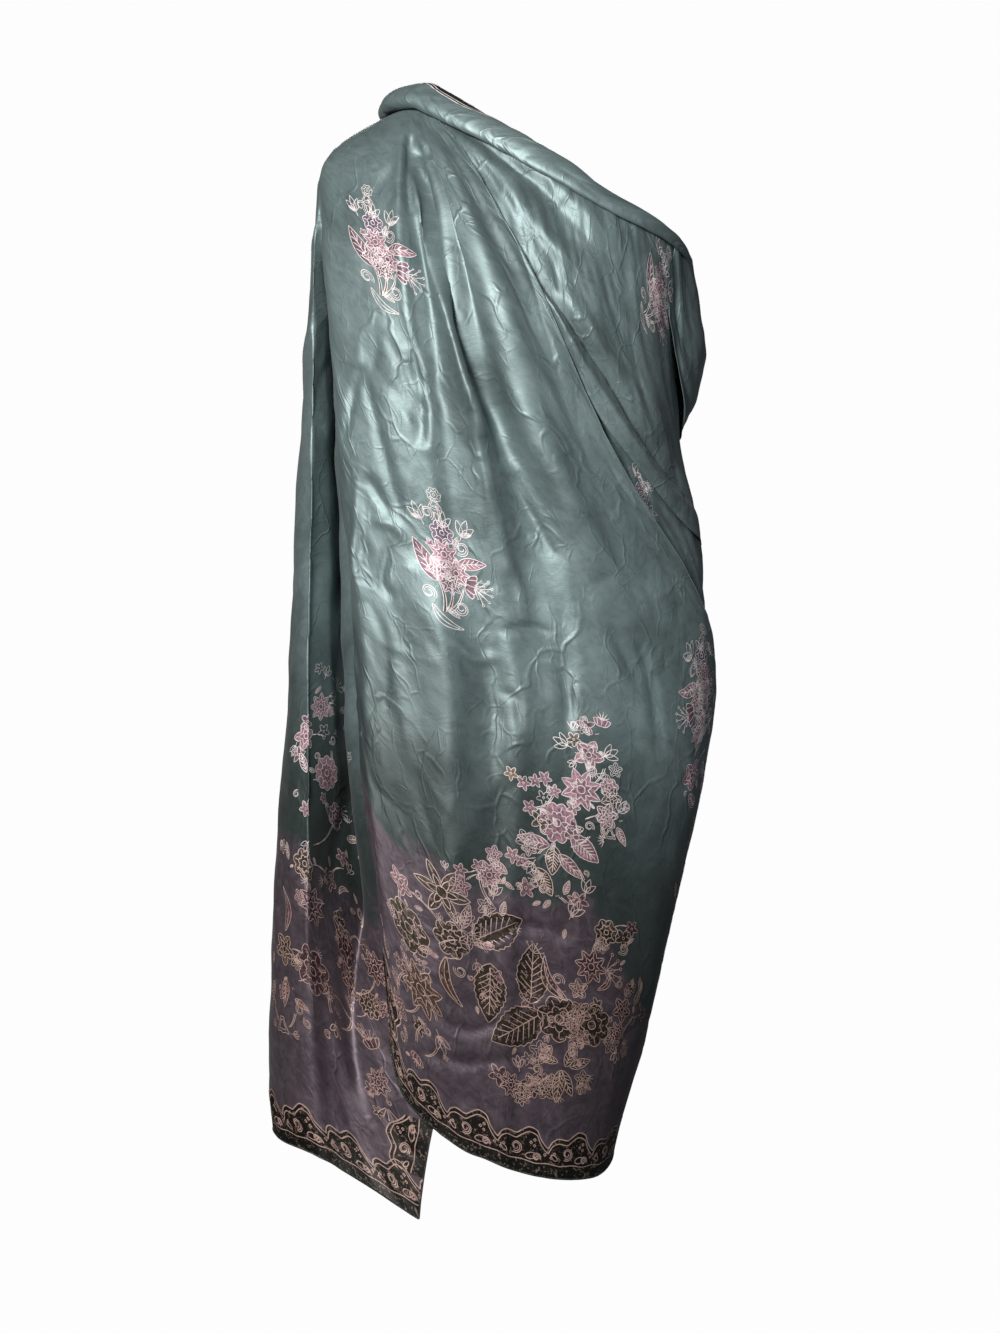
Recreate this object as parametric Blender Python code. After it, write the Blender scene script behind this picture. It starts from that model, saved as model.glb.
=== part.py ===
"""Large printed satin scarf, worn draped over one shoulder and round the body.

The scarf is one oblong of cloth, about 2.0 m by 1.0 m. It is gathered on the
shoulder at the origin. One end hangs down the front, the middle is swept across the
chest, under the other arm and over the back, and the other end hangs behind and
round the near side. Each stretch that shows is a thin hollow wall of its own.

Frame: metres, +X to the wearer's left, +Y to the back, +Z up. The tables are in
millimetres. The origin is the top of the shoulder that carries the scarf.
A direction round the body is an angle: 0 is the shoulder side, 90 the front,
180 the far side and 270 (or -90) the back.
"""
import bpy
import numpy as np

MM = 0.001
WALL = 1.0            # thickness of the cloth wall
ROUNDNESS = 2.15      # power of the oval that the cloth hangs round, 2 is an ellipse
SEAM_ANGLE = 0.12     # front and back stretches stop this far from the shoulder line

# The oval that the cloth hangs round, from the neck down to the hem:
# height, shoulder side, far side, depth in front, depth behind
FORM = np.array([
    (30, 66, 150, 42, 46),
    (20, 45, 169, 44, 50),
    (10, 24, 190, 46, 53),
    (0, 2, 212, 49, 57),
    (-10, -18, 232, 53, 61),
    (-22, -38, 250, 58, 66),
    (-31, -52, 262, 62, 71),
    (-41, -64, 272, 67, 76),
    (-53, -72, 276, 73, 81),
    (-70, -78, 276, 81, 88),
    (-100, -79, 268, 93, 98),
    (-130, -81, 260, 102, 104),
    (-160, -83, 256, 110, 107),
    (-220, -86, 251, 121, 106),
    (-296, -91, 254, 120, 98),
    (-370, -95, 261, 114, 93),
    (-430, -99, 272, 111, 95),
    (-550, -105, 282, 114, 112),
    (-604, -108, 276, 116, 116),
    (-650, -111, 268, 116, 116),
    (-700, -114, 256, 115, 113),
    (-754, -117, 243, 112, 108),
    (-810, -119, 231, 108, 104),
    (-858, -121, 219, 105, 101),
    (-905, -121, 206, 102, 99),
    (-950, -116, 194, 99, 97),
    (-1040, -100, 176, 96, 95),
], float)


def curve(stations, values, at):
    """Smooth value at each place, through the table's values without overshoot."""
    stations = np.asarray(stations, float)
    values = np.asarray(values, float)
    at = np.asarray(at, float)
    rise = np.diff(values) / np.diff(stations)
    slope = np.zeros_like(values)
    total = rise[:-1] + rise[1:]
    same_way = rise[:-1] * rise[1:] > 0
    slope[1:-1] = np.where(same_way, 2 * rise[:-1] * rise[1:] / np.where(total == 0, 1, total), 0)
    slope[0] = rise[0]
    slope[-1] = rise[-1]
    piece = np.clip(np.searchsorted(stations, at) - 1, 0, len(stations) - 2)
    span = stations[piece + 1] - stations[piece]
    t = np.clip((at - stations[piece]) / span, 0, 1)
    start = (2 * t**3 - 3 * t**2 + 1) * values[piece] + (t**3 - 2 * t**2 + t) * span * slope[piece]
    finish = (3 * t**2 - 2 * t**3) * values[piece + 1] + (t**3 - t**2) * span * slope[piece + 1]
    return start + finish


def form_place(angle, height):
    """Place on the bare oval at an angle (degrees) and a height, in millimetres."""
    rising = FORM[::-1]
    near, far, front, back = (curve(rising[:, 0], rising[:, column], height) for column in (1, 2, 3, 4))
    turn = np.radians(angle)
    across = np.sign(np.cos(turn)) * np.abs(np.cos(turn)) ** (2 / ROUNDNESS)
    deep = np.sign(np.sin(turn)) * np.abs(np.sin(turn)) ** (2 / ROUNDNESS)
    x = (near + far) / 2 - (far - near) / 2 * across
    y = -np.where(deep > 0, front, back) * deep
    return np.stack([x, y, np.broadcast_to(height, x.shape)], axis=-1)


def form_outward(angle, height):
    """Unit direction straight out of the oval at an angle and a height."""
    angle = np.asarray(angle, float)
    height = np.asarray(height, float)
    round_it = form_place(angle + 1.5, height) - form_place(angle - 1.5, height)
    down_it = form_place(angle, height - 2) - form_place(angle, height + 2)
    outward = np.cross(down_it, round_it)
    return outward / np.linalg.norm(outward, axis=-1, keepdims=True)


def on_form(angle, height, lift):
    """Place that stands a lift in millimetres out from the oval."""
    return form_place(angle, height) + form_outward(angle, height) * np.asarray(lift)[..., None]


def across_strands(values, steps):
    """Adds steps - 1 smooth places between neighbouring strands, which are rows."""
    count = len(values)
    at = np.linspace(0, count - 1, (count - 1) * steps + 1)
    columns = [curve(np.arange(count), values[:, column], at) for column in range(values.shape[1])]
    return np.stack(columns, axis=1)


def grid_outward(grid):
    """Unit direction out of a grid of points whose rows run round and columns run down."""
    round_it = np.gradient(grid, axis=0)
    down_it = np.gradient(grid, axis=1)
    outward = np.cross(down_it, round_it)
    return outward / np.linalg.norm(outward, axis=-1, keepdims=True)


def cloth(name, grid, colour, roughness):
    """Closed wall: the grid is one face and a second one lies WALL behind it."""
    rows, columns = grid.shape[:2]
    behind = grid - grid_outward(grid) * WALL
    points = np.concatenate([grid.reshape(-1, 3), behind.reshape(-1, 3)]) * MM
    index = np.arange(rows * columns).reshape(rows, columns)
    corners = [index[:-1, :-1], index[:-1, 1:], index[1:, 1:], index[1:, :-1]]
    corners = np.stack(corners, axis=-1).reshape(-1, 4)
    front_faces = np.concatenate([corners[:, (0, 1, 2)], corners[:, (0, 2, 3)]])
    behind_faces = front_faces[:, ::-1] + rows * columns
    rim = np.concatenate([index[:, 0], index[-1, 1:], index[-2::-1, -1], index[0, -2:0:-1]])
    following = np.roll(rim, -1)
    under = rim + rows * columns
    under_following = following + rows * columns
    rim_faces = np.concatenate([
        np.stack([rim, following, under_following], axis=-1),
        np.stack([rim, under_following, under], axis=-1),
    ])
    faces = np.concatenate([front_faces, behind_faces, rim_faces])
    mesh = bpy.data.meshes.new(name)
    mesh.from_pydata(points.tolist(), [], faces.tolist())
    smooth = np.ones(len(faces), bool)
    smooth[-len(rim_faces):] = False
    mesh.polygons.foreach_set("use_smooth", smooth)
    mesh.materials.append(satin(name, colour, roughness))
    piece = bpy.data.objects.new(name, mesh)
    bpy.context.scene.collection.objects.link(piece)
    return piece


def satin(name, colour, roughness):
    """Plain satin of one colour (linear red, green and blue)."""
    material = bpy.data.materials.new(name + "_satin")
    material.use_nodes = True
    shader = material.node_tree.nodes["Principled BSDF"]
    shader.inputs["Base Color"].default_value = (*colour, 1)
    shader.inputs["Roughness"].default_value = roughness
    shader.inputs["Metallic"].default_value = 0.0
    return material


def falling_grid(table, strand_steps, row_count):
    """Grid of a stretch that hangs: a strand for each table row, rows closer near the top."""
    down = np.linspace(0, 1, row_count) ** 1.25
    tops = np.array([row[1] for row in table], float)
    hems = np.array([row[2] for row in table], float)
    angles = np.array([curve(SHARES, row[3], down) for row in table])
    lifts = np.array([curve(SHARES, row[4], down) for row in table])
    heights = tops[:, None] + (hems - tops)[:, None] * down
    angle, height, lift = (across_strands(values, strand_steps) for values in (angles, heights, lifts))
    return on_form(angle, height, lift)


def sweeping_grid(table, across_shares, station_steps, across_count):
    """Grid of a stretch that runs round: a station for each table row, upper edge first."""
    across = np.linspace(0, 1, across_count)
    angles = np.array([row[0] for row in table], float)
    uppers = np.array([row[1] for row in table], float)
    lowers = np.array([row[2] for row in table], float)
    lifts = np.array([curve(across_shares, row[3], across) for row in table])
    heights = uppers[:, None] + (lowers - uppers)[:, None] * across
    wide = np.repeat(angles[:, None], across_count, axis=1)
    angle, height, lift = (across_strands(values, station_steps) for values in (wide, heights, lifts))
    return on_form(angle, height, lift)


for old in list(bpy.data.objects):
    bpy.data.objects.remove(old, do_unlink=True)

# The front fall: the end that hangs down the front, from its free edge on the shoulder
# side, over the pleats of the gather, to the selvedge that goes round the far hip.
# strand, top height, hem height, angles and lifts at these shares of the way down
SHARES = (0, 0.04, 0.1, 0.2, 0.35, 0.5, 0.7, 0.85, 1)
FRONT_FALL = [
    ("free edge", -45, -853,
     (SEAM_ANGLE, 16, 22, 32, 40, 46, 54, 64, 72),
     (4, 5, 6, 6, 4, 3, 4, 5, 5)),
    ("edge roll", -41, -888,
     (SEAM_ANGLE, 20, 27, 37, 45, 51, 59, 69, 76),
     (4, 6, 8, 9, 8, 8, 9, 9, 8)),
    ("shoulder flat", -27, -923,
     (SEAM_ANGLE, 36, 43, 51, 57, 62, 69, 78, 86),
     (4, 6, 8, 9, 8, 6, 6, 6, 5)),
    ("first pleat", -10, -946,
     (29, 54, 60, 66, 73, 76, 81, 88, 96),
     (2.2, 6, 9, 12, 9, 7, 5, 5, 5)),
    ("slit", -10, -953,
     (33.5, 57, 65, 72, 79, 82, 87, 94, 102),
     (2.2, 4, 3, 2, 4, 3, 4, 4, 3)),
    ("main pleat", -10, -960,
     (37.5, 60, 69.5, 78.5, 88, 91, 96, 101, 108),
     (2.2, 6, 10, 14, 11, 7, 7, 6, 5)),
    ("main valley", -11, -966,
     (41.5, 63, 74, 85, 96, 99, 103, 107, 114),
     (2.2, 4, 2, -4, -2, 3, 3, 2, 2)),
    ("broad fold", -12, -974,
     (45, 66, 79, 93, 108, 117, 123, 126, 128),
     (2.2, 6, 9, 11, 12, 9, 8, 7, 6)),
    ("bust slope", -13, -979,
     (48, 69, 82, 98, 118, 138, 155, 158, 152),
     (2.2, 6, 8, 8, 8, 6, 5, 5, 4)),
    ("hip turn", -14.5, -950,
     (50.5, 71, 84, 101, 122, 151, 185, 198, 200),
     (2.2, 6, 9, 9, 8, 7, 4, 4, 4)),
    ("selvedge", -16, -925,
     (52.5, 73, 86, 103, 126, 162, 215, 238, 248),
     (1.9, 4.4, 8, 8, 8, 8.5, 4, 3, 3)),
]
cloth("front_fall", falling_grid(FRONT_FALL, 3, 38), (0.13, 0.20, 0.20), 0.42)

# The back fall: the other end, from the hidden selvedge behind the front fall, round
# the shoulder side in a deep hollow, to the selvedge on the back. Columns as above.
BACK_FALL = [
    ("hidden selvedge", -60, -1010,
     (7, 24, 34, 46, 56, 64, 76, 88, 82),
     (1, 0, -3, -6, -10, -12, -12, -10, -6)),
    ("hollow", -58, -990,
     (5, 14, 20, 28, 35, 42, 50, 60, 71),
     (1, 0, -2, -6, -14, -20, -22, -18, -10)),
    ("hollow slope", -54, -968,
     (3, 8, 12, 17, 22, 27, 34, 42, 50),
     (1, 1, 0, 0, -3, -5, -6, -5, -3)),
    ("side ridge", -56, -954,
     (1.5, 0, 2, 4, 6, 8, 12, 16, 26),
     (1, 3, 4, 5, 5, 5, 5, 5, 4)),
    ("shoulder side", -47, -940,
     (-SEAM_ANGLE, -10, -12, -14, -14, -14, -14, -12, -10),
     (4, 5, 5, 6, 6, 6, 6, 6, 5)),
    ("back ridge one", -33, -935,
     (-SEAM_ANGLE, -26, -30, -34, -36, -36, -36, -36, -34),
     (4, 6, 9, 10, 10, 10, 10, 8, 8)),
    ("back valley one", -24, -938,
     (-SEAM_ANGLE, -36, -43, -50, -56, -58, -60, -60, -58),
     (4, 4, 4, 4, 4, 3, 3, 3, 3)),
    ("back ridge two", -17, -945,
     (-SEAM_ANGLE, -42, -52, -64, -74, -79, -82, -84, -84),
     (3, 7, 10, 12, 12, 11, 10, 9, 8)),
    ("back valley two", -16, -950,
     (-10, -46, -59, -75, -89, -97, -102, -106, -108),
     (2.6, 5, 4, 4, 4, 4, 4, 5, 5)),
    ("back ridge three", -18, -948,
     (-19, -50, -65, -85, -104, -117, -126, -131, -133),
     (2.6, 7, 10, 12, 13, 13, 13, 13, 12)),
    ("back selvedge", -22, -940,
     (-27, -53, -70, -92, -116, -134, -147, -154, -156),
     (2.6, 6, 8, 9, 9, 10, 11, 11, 10)),
]
cloth("back_fall", falling_grid(BACK_FALL, 3, 34), (0.11, 0.17, 0.17), 0.42)

# The torso sweep: from the gather across the chest, under the far arm, over the back
# and up to the shoulder again.
# angle, upper edge height, lower edge height, lifts at these shares across it
SWEEP_ACROSS = (0, 0.1, 0.2, 0.38, 0.55, 0.72, 1)
TORSO_SWEEP = [
    (56, -13, -25, (1, 1, 1, 1, 1, 0.9, 0.9)),
    (62, -17, -36, (1, 1, 1, 1.2, 1.5, 1.2, 0.8)),
    (72, -27, -63, (1, 1, 0.5, 3, 2, 1, 0)),
    (83, -42, -106, (1, 1, -1, 5, 2.5, 1.5, 0)),
    (93, -61, -162, (1, 0.5, -3, 6, 3, 2, 0)),
    (103, -78, -225, (1, 0.5, -3, 5, 2, 1.5, 0)),
    (115, -98, -310, (1, 1, -1, 3, 1, 1, 0)),
    (130, -114, -395, (0.5, 1, 0, 1.5, 1, 1, 0)),
    (145, -125, -470, (0, 1, 1, 1, 1, 2, 0)),
    (158, -135, -515, (0, 1, 1, 0.5, 1, 3, 0)),
    (167, -165, -550, (0, 0, 0, 0.5, 4, 5, 0)),
    (178, -202, -590, (0, 0, 0, 1, 8, 2, 0)),
    (195, -226, -630, (0, 0, 0, 1, 6, 0.5, 0)),
    (218, -210, -660, (0, 1, 0, 1, 2, 0.5, 0)),
    (242, -165, -600, (0, 1, 0, 1, 0, 1, 0)),
    (266, -119, -490, (0, 1, 0, 1, 0, 1, 0)),
    (288, -82, -360, (0, 1, 0, 1, 0, 1, 0)),
    (306, -48, -220, (0, 1, 0, 1, 0, 1, 0)),
    (322, -24, -100, (0, 0.5, 0, 0.5, 0, 0.5, 0)),
]
cloth("torso_sweep", sweeping_grid(TORSO_SWEEP, SWEEP_ACROSS, 2, 21), (0.10, 0.15, 0.15), 0.45)

# The sweep fold: a plump fold that lies on the sweep, from a point on the chest round
# under the far arm to the back. Columns as above.
FOLD_ACROSS = (0, 0.45, 1)
SWEEP_FOLD = [
    (98, -163, -170, (5, 5, 5)),
    (103, -184, -194, (4.5, 6.5, 5)),
    (106.5, -196, -211, (4, 9, 5)),
    (110, -209, -232, (4, 10, 5)),
    (114, -226, -255, (4, 10, 5)),
    (118, -241, -280, (4, 10, 5)),
    (124, -262, -306, (3.5, 10, 5)),
    (131, -290, -327, (3, 10, 5)),
    (137, -311, -344, (3, 10, 5)),
    (145, -332, -363, (3, 9, 5)),
    (153, -348, -378, (3, 8, 5)),
    (162, -356, -392, (4, 9, 7)),
    (172, -361, -400, (5, 10, 8.5)),
    (186, -366, -406, (5, 10, 8.5)),
    (202, -366, -402, (4, 8, 6)),
    (218, -360, -392, (3, 5, 3)),
    (234, -352, -380, (3, 4.5, 3)),
    (250, -345, -368, (3, 4, 3)),
]
cloth("sweep_fold", sweeping_grid(SWEEP_FOLD, FOLD_ACROSS, 3, 8), (0.09, 0.13, 0.13), 0.45)

# The underarm loop: slack cloth that stands away from the chest below the far arm and
# leaves a slit in front of it. Columns as above.
LOOP_ACROSS = (0, 0.25, 0.5, 0.75, 1)
UNDERARM_LOOP = [
    (170, -134, -298, (3, 7, 10, 8, 1.7)),
    (179, -135, -304, (8, 19, 26, 18, 1.8)),
    (189, -138, -307, (11, 24, 33, 22, 1.8)),
    (203, -151, -302, (8, 16, 21, 14, 2)),
    (217, -169, -290, (5, 9, 11, 8, 3)),
    (229, -184, -276, (3.5, 6, 6, 5, 3)),
    (240, -200, -258, (3, 4, 4, 4, 3)),
]
cloth("underarm_loop", sweeping_grid(UNDERARM_LOOP, LOOP_ACROSS, 3, 13), (0.09, 0.13, 0.13), 0.45)

# The neck roll: the turned-over upper edge, a soft open roll from the back, over the
# shoulder and along the neckline to the far arm.
# angle, height of its middle, half its breadth, half its thickness
NECK_ROLL = [
    (-130, -178, 5.5, 2.8),
    (-114, -150, 6.5, 3.2),
    (-94, -112, 8, 4),
    (-74, -76, 9, 4.5),
    (-56, -44, 11, 5.5),
    (-38, -18, 13, 7),
    (-14, -5, 15, 9),
    (10, -2, 16, 10),
    (35, -1, 16, 9),
    (55, -8, 15, 6.5),
    (70, -20, 14, 5.5),
    (80, -32, 13, 5.5),
    (88, -45, 13, 5.5),
    (95, -60, 13, 5),
    (103, -74, 12, 4.5),
    (112, -90, 10, 4),
    (122, -103, 9, 3.4),
    (135, -114, 8, 3),
    (150, -125, 6, 2.6),
    (163, -133, 5, 2.4),
]
ROLL_SEAT = 1.6       # how far the underside of the roll stands off the oval
ROLL_OPENING = 34     # half of the open part of the roll, facing the body, in degrees


def roll_grid(table, path_steps, round_count):
    """Grid of the roll: an open oval ring at each place along its path."""
    path = across_strands(np.array(table, float), path_steps)
    angle, height, breadth, thick = path.T
    outward = form_outward(angle, height)
    middle = form_place(angle, height) + outward * (thick + ROLL_SEAT)[:, None]
    along = np.gradient(middle, axis=0)
    along /= np.linalg.norm(along, axis=1, keepdims=True)
    outward -= along * np.sum(outward * along, axis=1, keepdims=True)
    outward /= np.linalg.norm(outward, axis=1, keepdims=True)
    up = np.cross(outward, along)
    turn = np.radians(np.linspace(-90 - ROLL_OPENING, -450 + ROLL_OPENING, round_count))
    out_part = outward[:, None, :] * (np.sin(turn)[None, :] * thick[:, None])[..., None]
    up_part = up[:, None, :] * (np.cos(turn)[None, :] * breadth[:, None])[..., None]
    return middle[:, None, :] + out_part + up_part


cloth("neck_roll", roll_grid(NECK_ROLL, 2, 13), (0.08, 0.12, 0.12), 0.45)
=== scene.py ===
"""Silk satin scarf worn over one shoulder: its cloth, printed ends, hems and studio.

The lengths in the tables are millimetres, and the meshes are metres. +X is to the
wearer's left, +Y to the back, +Z up, with the origin on top of the shoulder that
carries the scarf. A direction round the body is an angle: 0 is the shoulder side,
90 the front, 180 the far side and 270 (or -90) the back.
"""
import bpy
import numpy as np
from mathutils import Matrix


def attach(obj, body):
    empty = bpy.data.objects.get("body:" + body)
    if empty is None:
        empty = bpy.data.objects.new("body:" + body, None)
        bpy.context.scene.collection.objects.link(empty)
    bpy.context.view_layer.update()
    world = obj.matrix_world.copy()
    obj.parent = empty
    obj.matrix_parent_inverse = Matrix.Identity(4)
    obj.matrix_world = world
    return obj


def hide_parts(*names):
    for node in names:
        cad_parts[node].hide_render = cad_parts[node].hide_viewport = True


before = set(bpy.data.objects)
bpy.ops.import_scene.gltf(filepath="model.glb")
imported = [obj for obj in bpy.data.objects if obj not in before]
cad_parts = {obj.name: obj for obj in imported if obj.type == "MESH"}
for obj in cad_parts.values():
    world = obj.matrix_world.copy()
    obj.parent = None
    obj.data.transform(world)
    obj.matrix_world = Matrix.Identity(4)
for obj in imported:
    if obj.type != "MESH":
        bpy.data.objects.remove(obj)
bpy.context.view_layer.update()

# The front fall: one end of the scarf, silk satin that hangs down the front from the
# gather on the shoulder. Its near side is folded under, its far side is the selvedge
# that goes round the hip, and its hem slants down to the far side.
FORM = np.array([
    (30, 66, 150, 42, 46), (20, 45, 169, 44, 50), (10, 24, 190, 46, 53),
    (0, 2, 212, 49, 57), (-10, -18, 232, 53, 61), (-22, -38, 250, 58, 66),
    (-31, -52, 262, 62, 71), (-41, -64, 272, 67, 76), (-53, -72, 276, 73, 81),
    (-70, -78, 276, 81, 88), (-100, -79, 268, 93, 98), (-130, -81, 260, 102, 104),
    (-160, -83, 256, 110, 107), (-220, -86, 251, 121, 106), (-296, -91, 254, 120, 98),
    (-370, -95, 261, 114, 93), (-430, -99, 272, 111, 95), (-550, -105, 282, 114, 112),
    (-604, -108, 276, 116, 116), (-650, -111, 268, 116, 116), (-700, -114, 256, 115, 113),
    (-754, -117, 243, 112, 108), (-810, -119, 231, 108, 104), (-858, -121, 219, 105, 101),
    (-905, -121, 206, 102, 99), (-950, -116, 194, 99, 97), (-1040, -100, 176, 96, 95),
], float)             # height, shoulder side, far side, depth in front, depth behind
ROUNDNESS = 2.15      # power of the oval that the cloth hangs round, 2 is an ellipse
SEAM_ANGLE = 0.12     # front and back stretches stop this far from the shoulder line
WALL = 0.5            # the cloth as drawn, the real one is about 0.3
GRID_STEP = 3.4       # distance between the points of a cloth
SHARES = (0, 0.04, 0.1, 0.2, 0.35, 0.5, 0.7, 0.85, 1)
# strand, top height, hem height, angles and lifts at these shares of the way down
FRONT_FALL = [
    ("free edge", -45, -853, (SEAM_ANGLE, 16, 22, 32, 40, 46, 54, 64, 72), (4, 5, 6, 6, 4, 3, 4, 5, 5)),
    ("edge roll", -41, -888, (SEAM_ANGLE, 20, 27, 37, 45, 51, 59, 69, 76), (4, 6, 8, 9, 8, 8, 9, 9, 8)),
    ("shoulder flat", -27, -923, (SEAM_ANGLE, 36, 43, 51, 57, 62, 69, 78, 86),
     (4, 6, 8, 9, 8, 6, 6, 6, 5)),
    ("first pleat", -1, -946, (29, 54, 60, 66, 73, 76, 81, 88, 96), (2.2, 6, 9, 12, 9, 7, 5, 5, 5)),
    ("slit", -1, -953, (33.5, 57, 65, 72, 79, 82, 87, 94, 102), (2.2, 4, 3, 2, 4, 3, 4, 4, 3)),
    ("main pleat", -1, -960, (37.5, 60, 69.5, 78.5, 88, 91, 96, 101, 108),
     (2.2, 6, 10, 14, 11, 7, 7, 6, 5)),
    ("main valley", -2, -966, (41.5, 63, 74, 85, 96, 99, 103, 107, 114), (2.2, 4, 2, -4, -2, 3, 3, 2, 2)),
    ("broad fold", -3, -974, (45, 66, 79, 93, 108, 117, 123, 126, 128), (2.2, 6, 9, 11, 12, 9, 8, 7, 6)),
    ("bust slope", -4, -979, (48, 69, 82, 98, 118, 138, 155, 158, 152), (2.2, 6, 8, 8, 8, 6, 5, 5, 4)),
    ("hip turn", -5.5, -950, (50.5, 71, 84, 101, 122, 151, 185, 198, 200), (2.2, 6, 9, 9, 8, 7, 4, 4, 4)),
    ("selvedge", -7, -925, (52.5, 73, 86, 103, 126, 162, 215, 238, 248),
     (1.9, 4.4, 8, 8, 8, 8.5, 4, 3, 3)),
]
# crease, half its width, its height, and its line as it shows from the front (x, z)
FRONT_CREASES = [
    ("ridge by the fold", 6, 6.5,
     ((3, -28), (2, -49), (0, -84), (-1, -127), (1, -154), (12, -225), (24, -279), (26, -332))),
    ("slit beside it", 4, -9.0, ((4, -29), (5, -56), (6, -87), (8, -114))),
    ("main pleat", 5.5, 11.0,
     ((2, -29), (6, -60), (14, -94), (22, -128), (30, -162), (41, -196), (51, -230), (60, -264), (76, -315))),
    ("deep valley", 8, -20.0,
     ((7, -34), (12, -60), (23, -94), (31, -128), (38, -162), (48, -196), (59, -230), (72, -264), (86, -298),
      (95, -341))),
    ("dent", 5, -6, ((10, -47), (18, -52), (26, -59))),
    ("soft valley", 8, -7.5, ((-1, -154), (7, -181), (12, -216), (17, -256), (22, -274), (19, -323))),
    ("tent left leg", 3.2, -2.8, ((-36, -248), (-42, -270), (-50, -314))),
    ("tent right leg", 3.8, -2.8, ((-35, -248), (-27, -279), (-20, -305), (-10, -345), (3, -385))),
    ("tent top", 4, 1.6, ((-39, -216), (-37, -236), (-36, -252))),
    ("slanting crease one", 3.0, -2.0, ((-18, -216), (-5, -238), (15, -301))),
    ("slanting crease two", 3.0, -1.8, ((-8, -265), (7, -289), (22, -307))),
    ("slanting crease three", 3, -1.6, ((-2, -254), (10, -279), (26, -295))),
    ("broad fold", 15, 11.0, ((22, -31), (44, -101), (80, -190), (106, -279), (155, -385), (177, -439))),
    ("edge of broad fold", 4, 3.4, ((62, -296), (75, -341), (88, -394), (99, -439))),
    ("hip crease", 4.5, -3.6, ((93, -341), (115, -381), (138, -421))),
    ("hip ridge", 4.5, 3.2, ((96, -421), (106, -448), (112, -483))),
    ("left upright ridge", 4, 3.2, ((-39, -341), (-40, -385), (-42, -421), (-34, -457))),
    ("left upright valley", 4.5, -3.6, ((-49, -368), (-50, -412), (-43, -474), (-34, -537))),
    ("waist facet one", 3.6, -3.2, ((-31, -345), (-18, -368), (-8, -381))),
    ("waist facet two", 3.6, 2.8, ((-26, -385), (-5, -392), (8, -408))),
    ("waist facet three", 3.6, -3.2, ((-10, -403), (-17, -439), (-4, -457))),
    ("level crease one", 3.6, -2.8, ((88, -485), (115, -481), (133, -487))),
    ("level crease two", 3.6, -2.8, ((88, -537), (104, -546), (106, -572))),
    ("level crease three", 4.5, 2.6, ((46, -492), (71, -510), (88, -505))),
    ("down crease one", 3.6, -3.0, ((142, -505), (147, -537), (152, -563))),
    ("down crease two", 3.6, 2.6, ((160, -528), (156, -563), (163, -599))),
    ("down crease three", 4.5, -3.0, ((186, -483), (200, -505), (213, -537))),
    ("hip side crease", 4, -3.2, ((213, -492), (226, -546), (231, -599))),
    ("knee crease one", 4.5, -2.8, ((62, -759), (115, -746), (155, -759))),
    ("knee crease two", 4.5, 2.4, ((106, -821), (142, -813), (195, -826))),
    ("knee crease three", 4.5, -2.6, ((26, -821), (62, -839), (88, -830))),
    ("knee crease four", 4.5, -2.6, ((17, -857), (62, -868), (106, -864))),
    ("centre fold", 20, 7, ((26, -421), (39, -528), (46, -635), (49, -724), (55, -813))),
    ("centre hollow", 16, -6, ((71, -457), (81, -546), (88, -635), (94, -724))),
]


def curve(stations, values, at):
    """Smooth values at each place: a cubic between each two rows of the table's values,
    whose slope at a row is the harmonic mean of its two sides, so it never overshoots."""
    stations, values, at = (np.asarray(part, float) for part in (stations, values, at))
    wide = (1,) * (values.ndim - 1)
    rise = np.diff(values, axis=0) / np.diff(stations).reshape(-1, *wide)
    total = rise[:-1] + rise[1:]
    product = rise[:-1] * rise[1:]
    middle = np.where(product > 0, 2 * product / np.where(total == 0, 1, total), 0)
    slope = np.concatenate([rise[:1], middle, rise[-1:]])
    piece = np.clip(np.searchsorted(stations, at) - 1, 0, len(stations) - 2)
    span = stations[piece + 1] - stations[piece]
    t = np.clip((at - stations[piece]) / span, 0, 1).reshape(at.shape + wide)
    span = span.reshape(at.shape + wide)
    start = (2 * t**3 - 3 * t**2 + 1) * values[piece] + (t**3 - 2 * t**2 + t) * span * slope[piece]
    return start + (3 * t**2 - 2 * t**3) * values[piece + 1] + (t**3 - t**2) * span * slope[piece + 1]


def form_place(angle, height):
    """Place on the bare oval: x and y are the half sizes at that height times the cosine
    and sine of the angle, each to the power 2 / ROUNDNESS with its sign kept."""
    near, far, front, back = np.moveaxis(curve(FORM[::-1, 0], FORM[::-1, 1:], height), -1, 0)
    turn = np.radians(angle)
    across = np.sign(np.cos(turn)) * np.abs(np.cos(turn)) ** (2 / ROUNDNESS)
    deep = np.sign(np.sin(turn)) * np.abs(np.sin(turn)) ** (2 / ROUNDNESS)
    x = (near + far) / 2 - (far - near) / 2 * across
    return np.stack([x, -np.where(deep > 0, front, back) * deep, np.broadcast_to(height, x.shape)], axis=-1)


def form_outward(angle, height):
    """Unit direction out of the oval: the way down crossed with the way round."""
    angle, height = np.broadcast_arrays(np.asarray(angle, float), np.asarray(height, float))
    outward = np.cross(form_place(angle, height - 2) - form_place(angle, height + 2),
                       form_place(angle + 1.5, height) - form_place(angle - 1.5, height))
    return outward / np.linalg.norm(outward, axis=-1, keepdims=True)


def on_form(angle, height, lift):
    """Place that stands a lift in millimetres out from the oval."""
    return form_place(angle, height) + form_outward(angle, height) * np.asarray(lift)[..., None]


def outward_of(places):
    """Unit direction out of a grid whose rows go round and whose columns go down."""
    outward = np.cross(np.gradient(places, axis=1), np.gradient(places, axis=0))
    return outward / np.linalg.norm(outward, axis=-1, keepdims=True)


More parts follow.
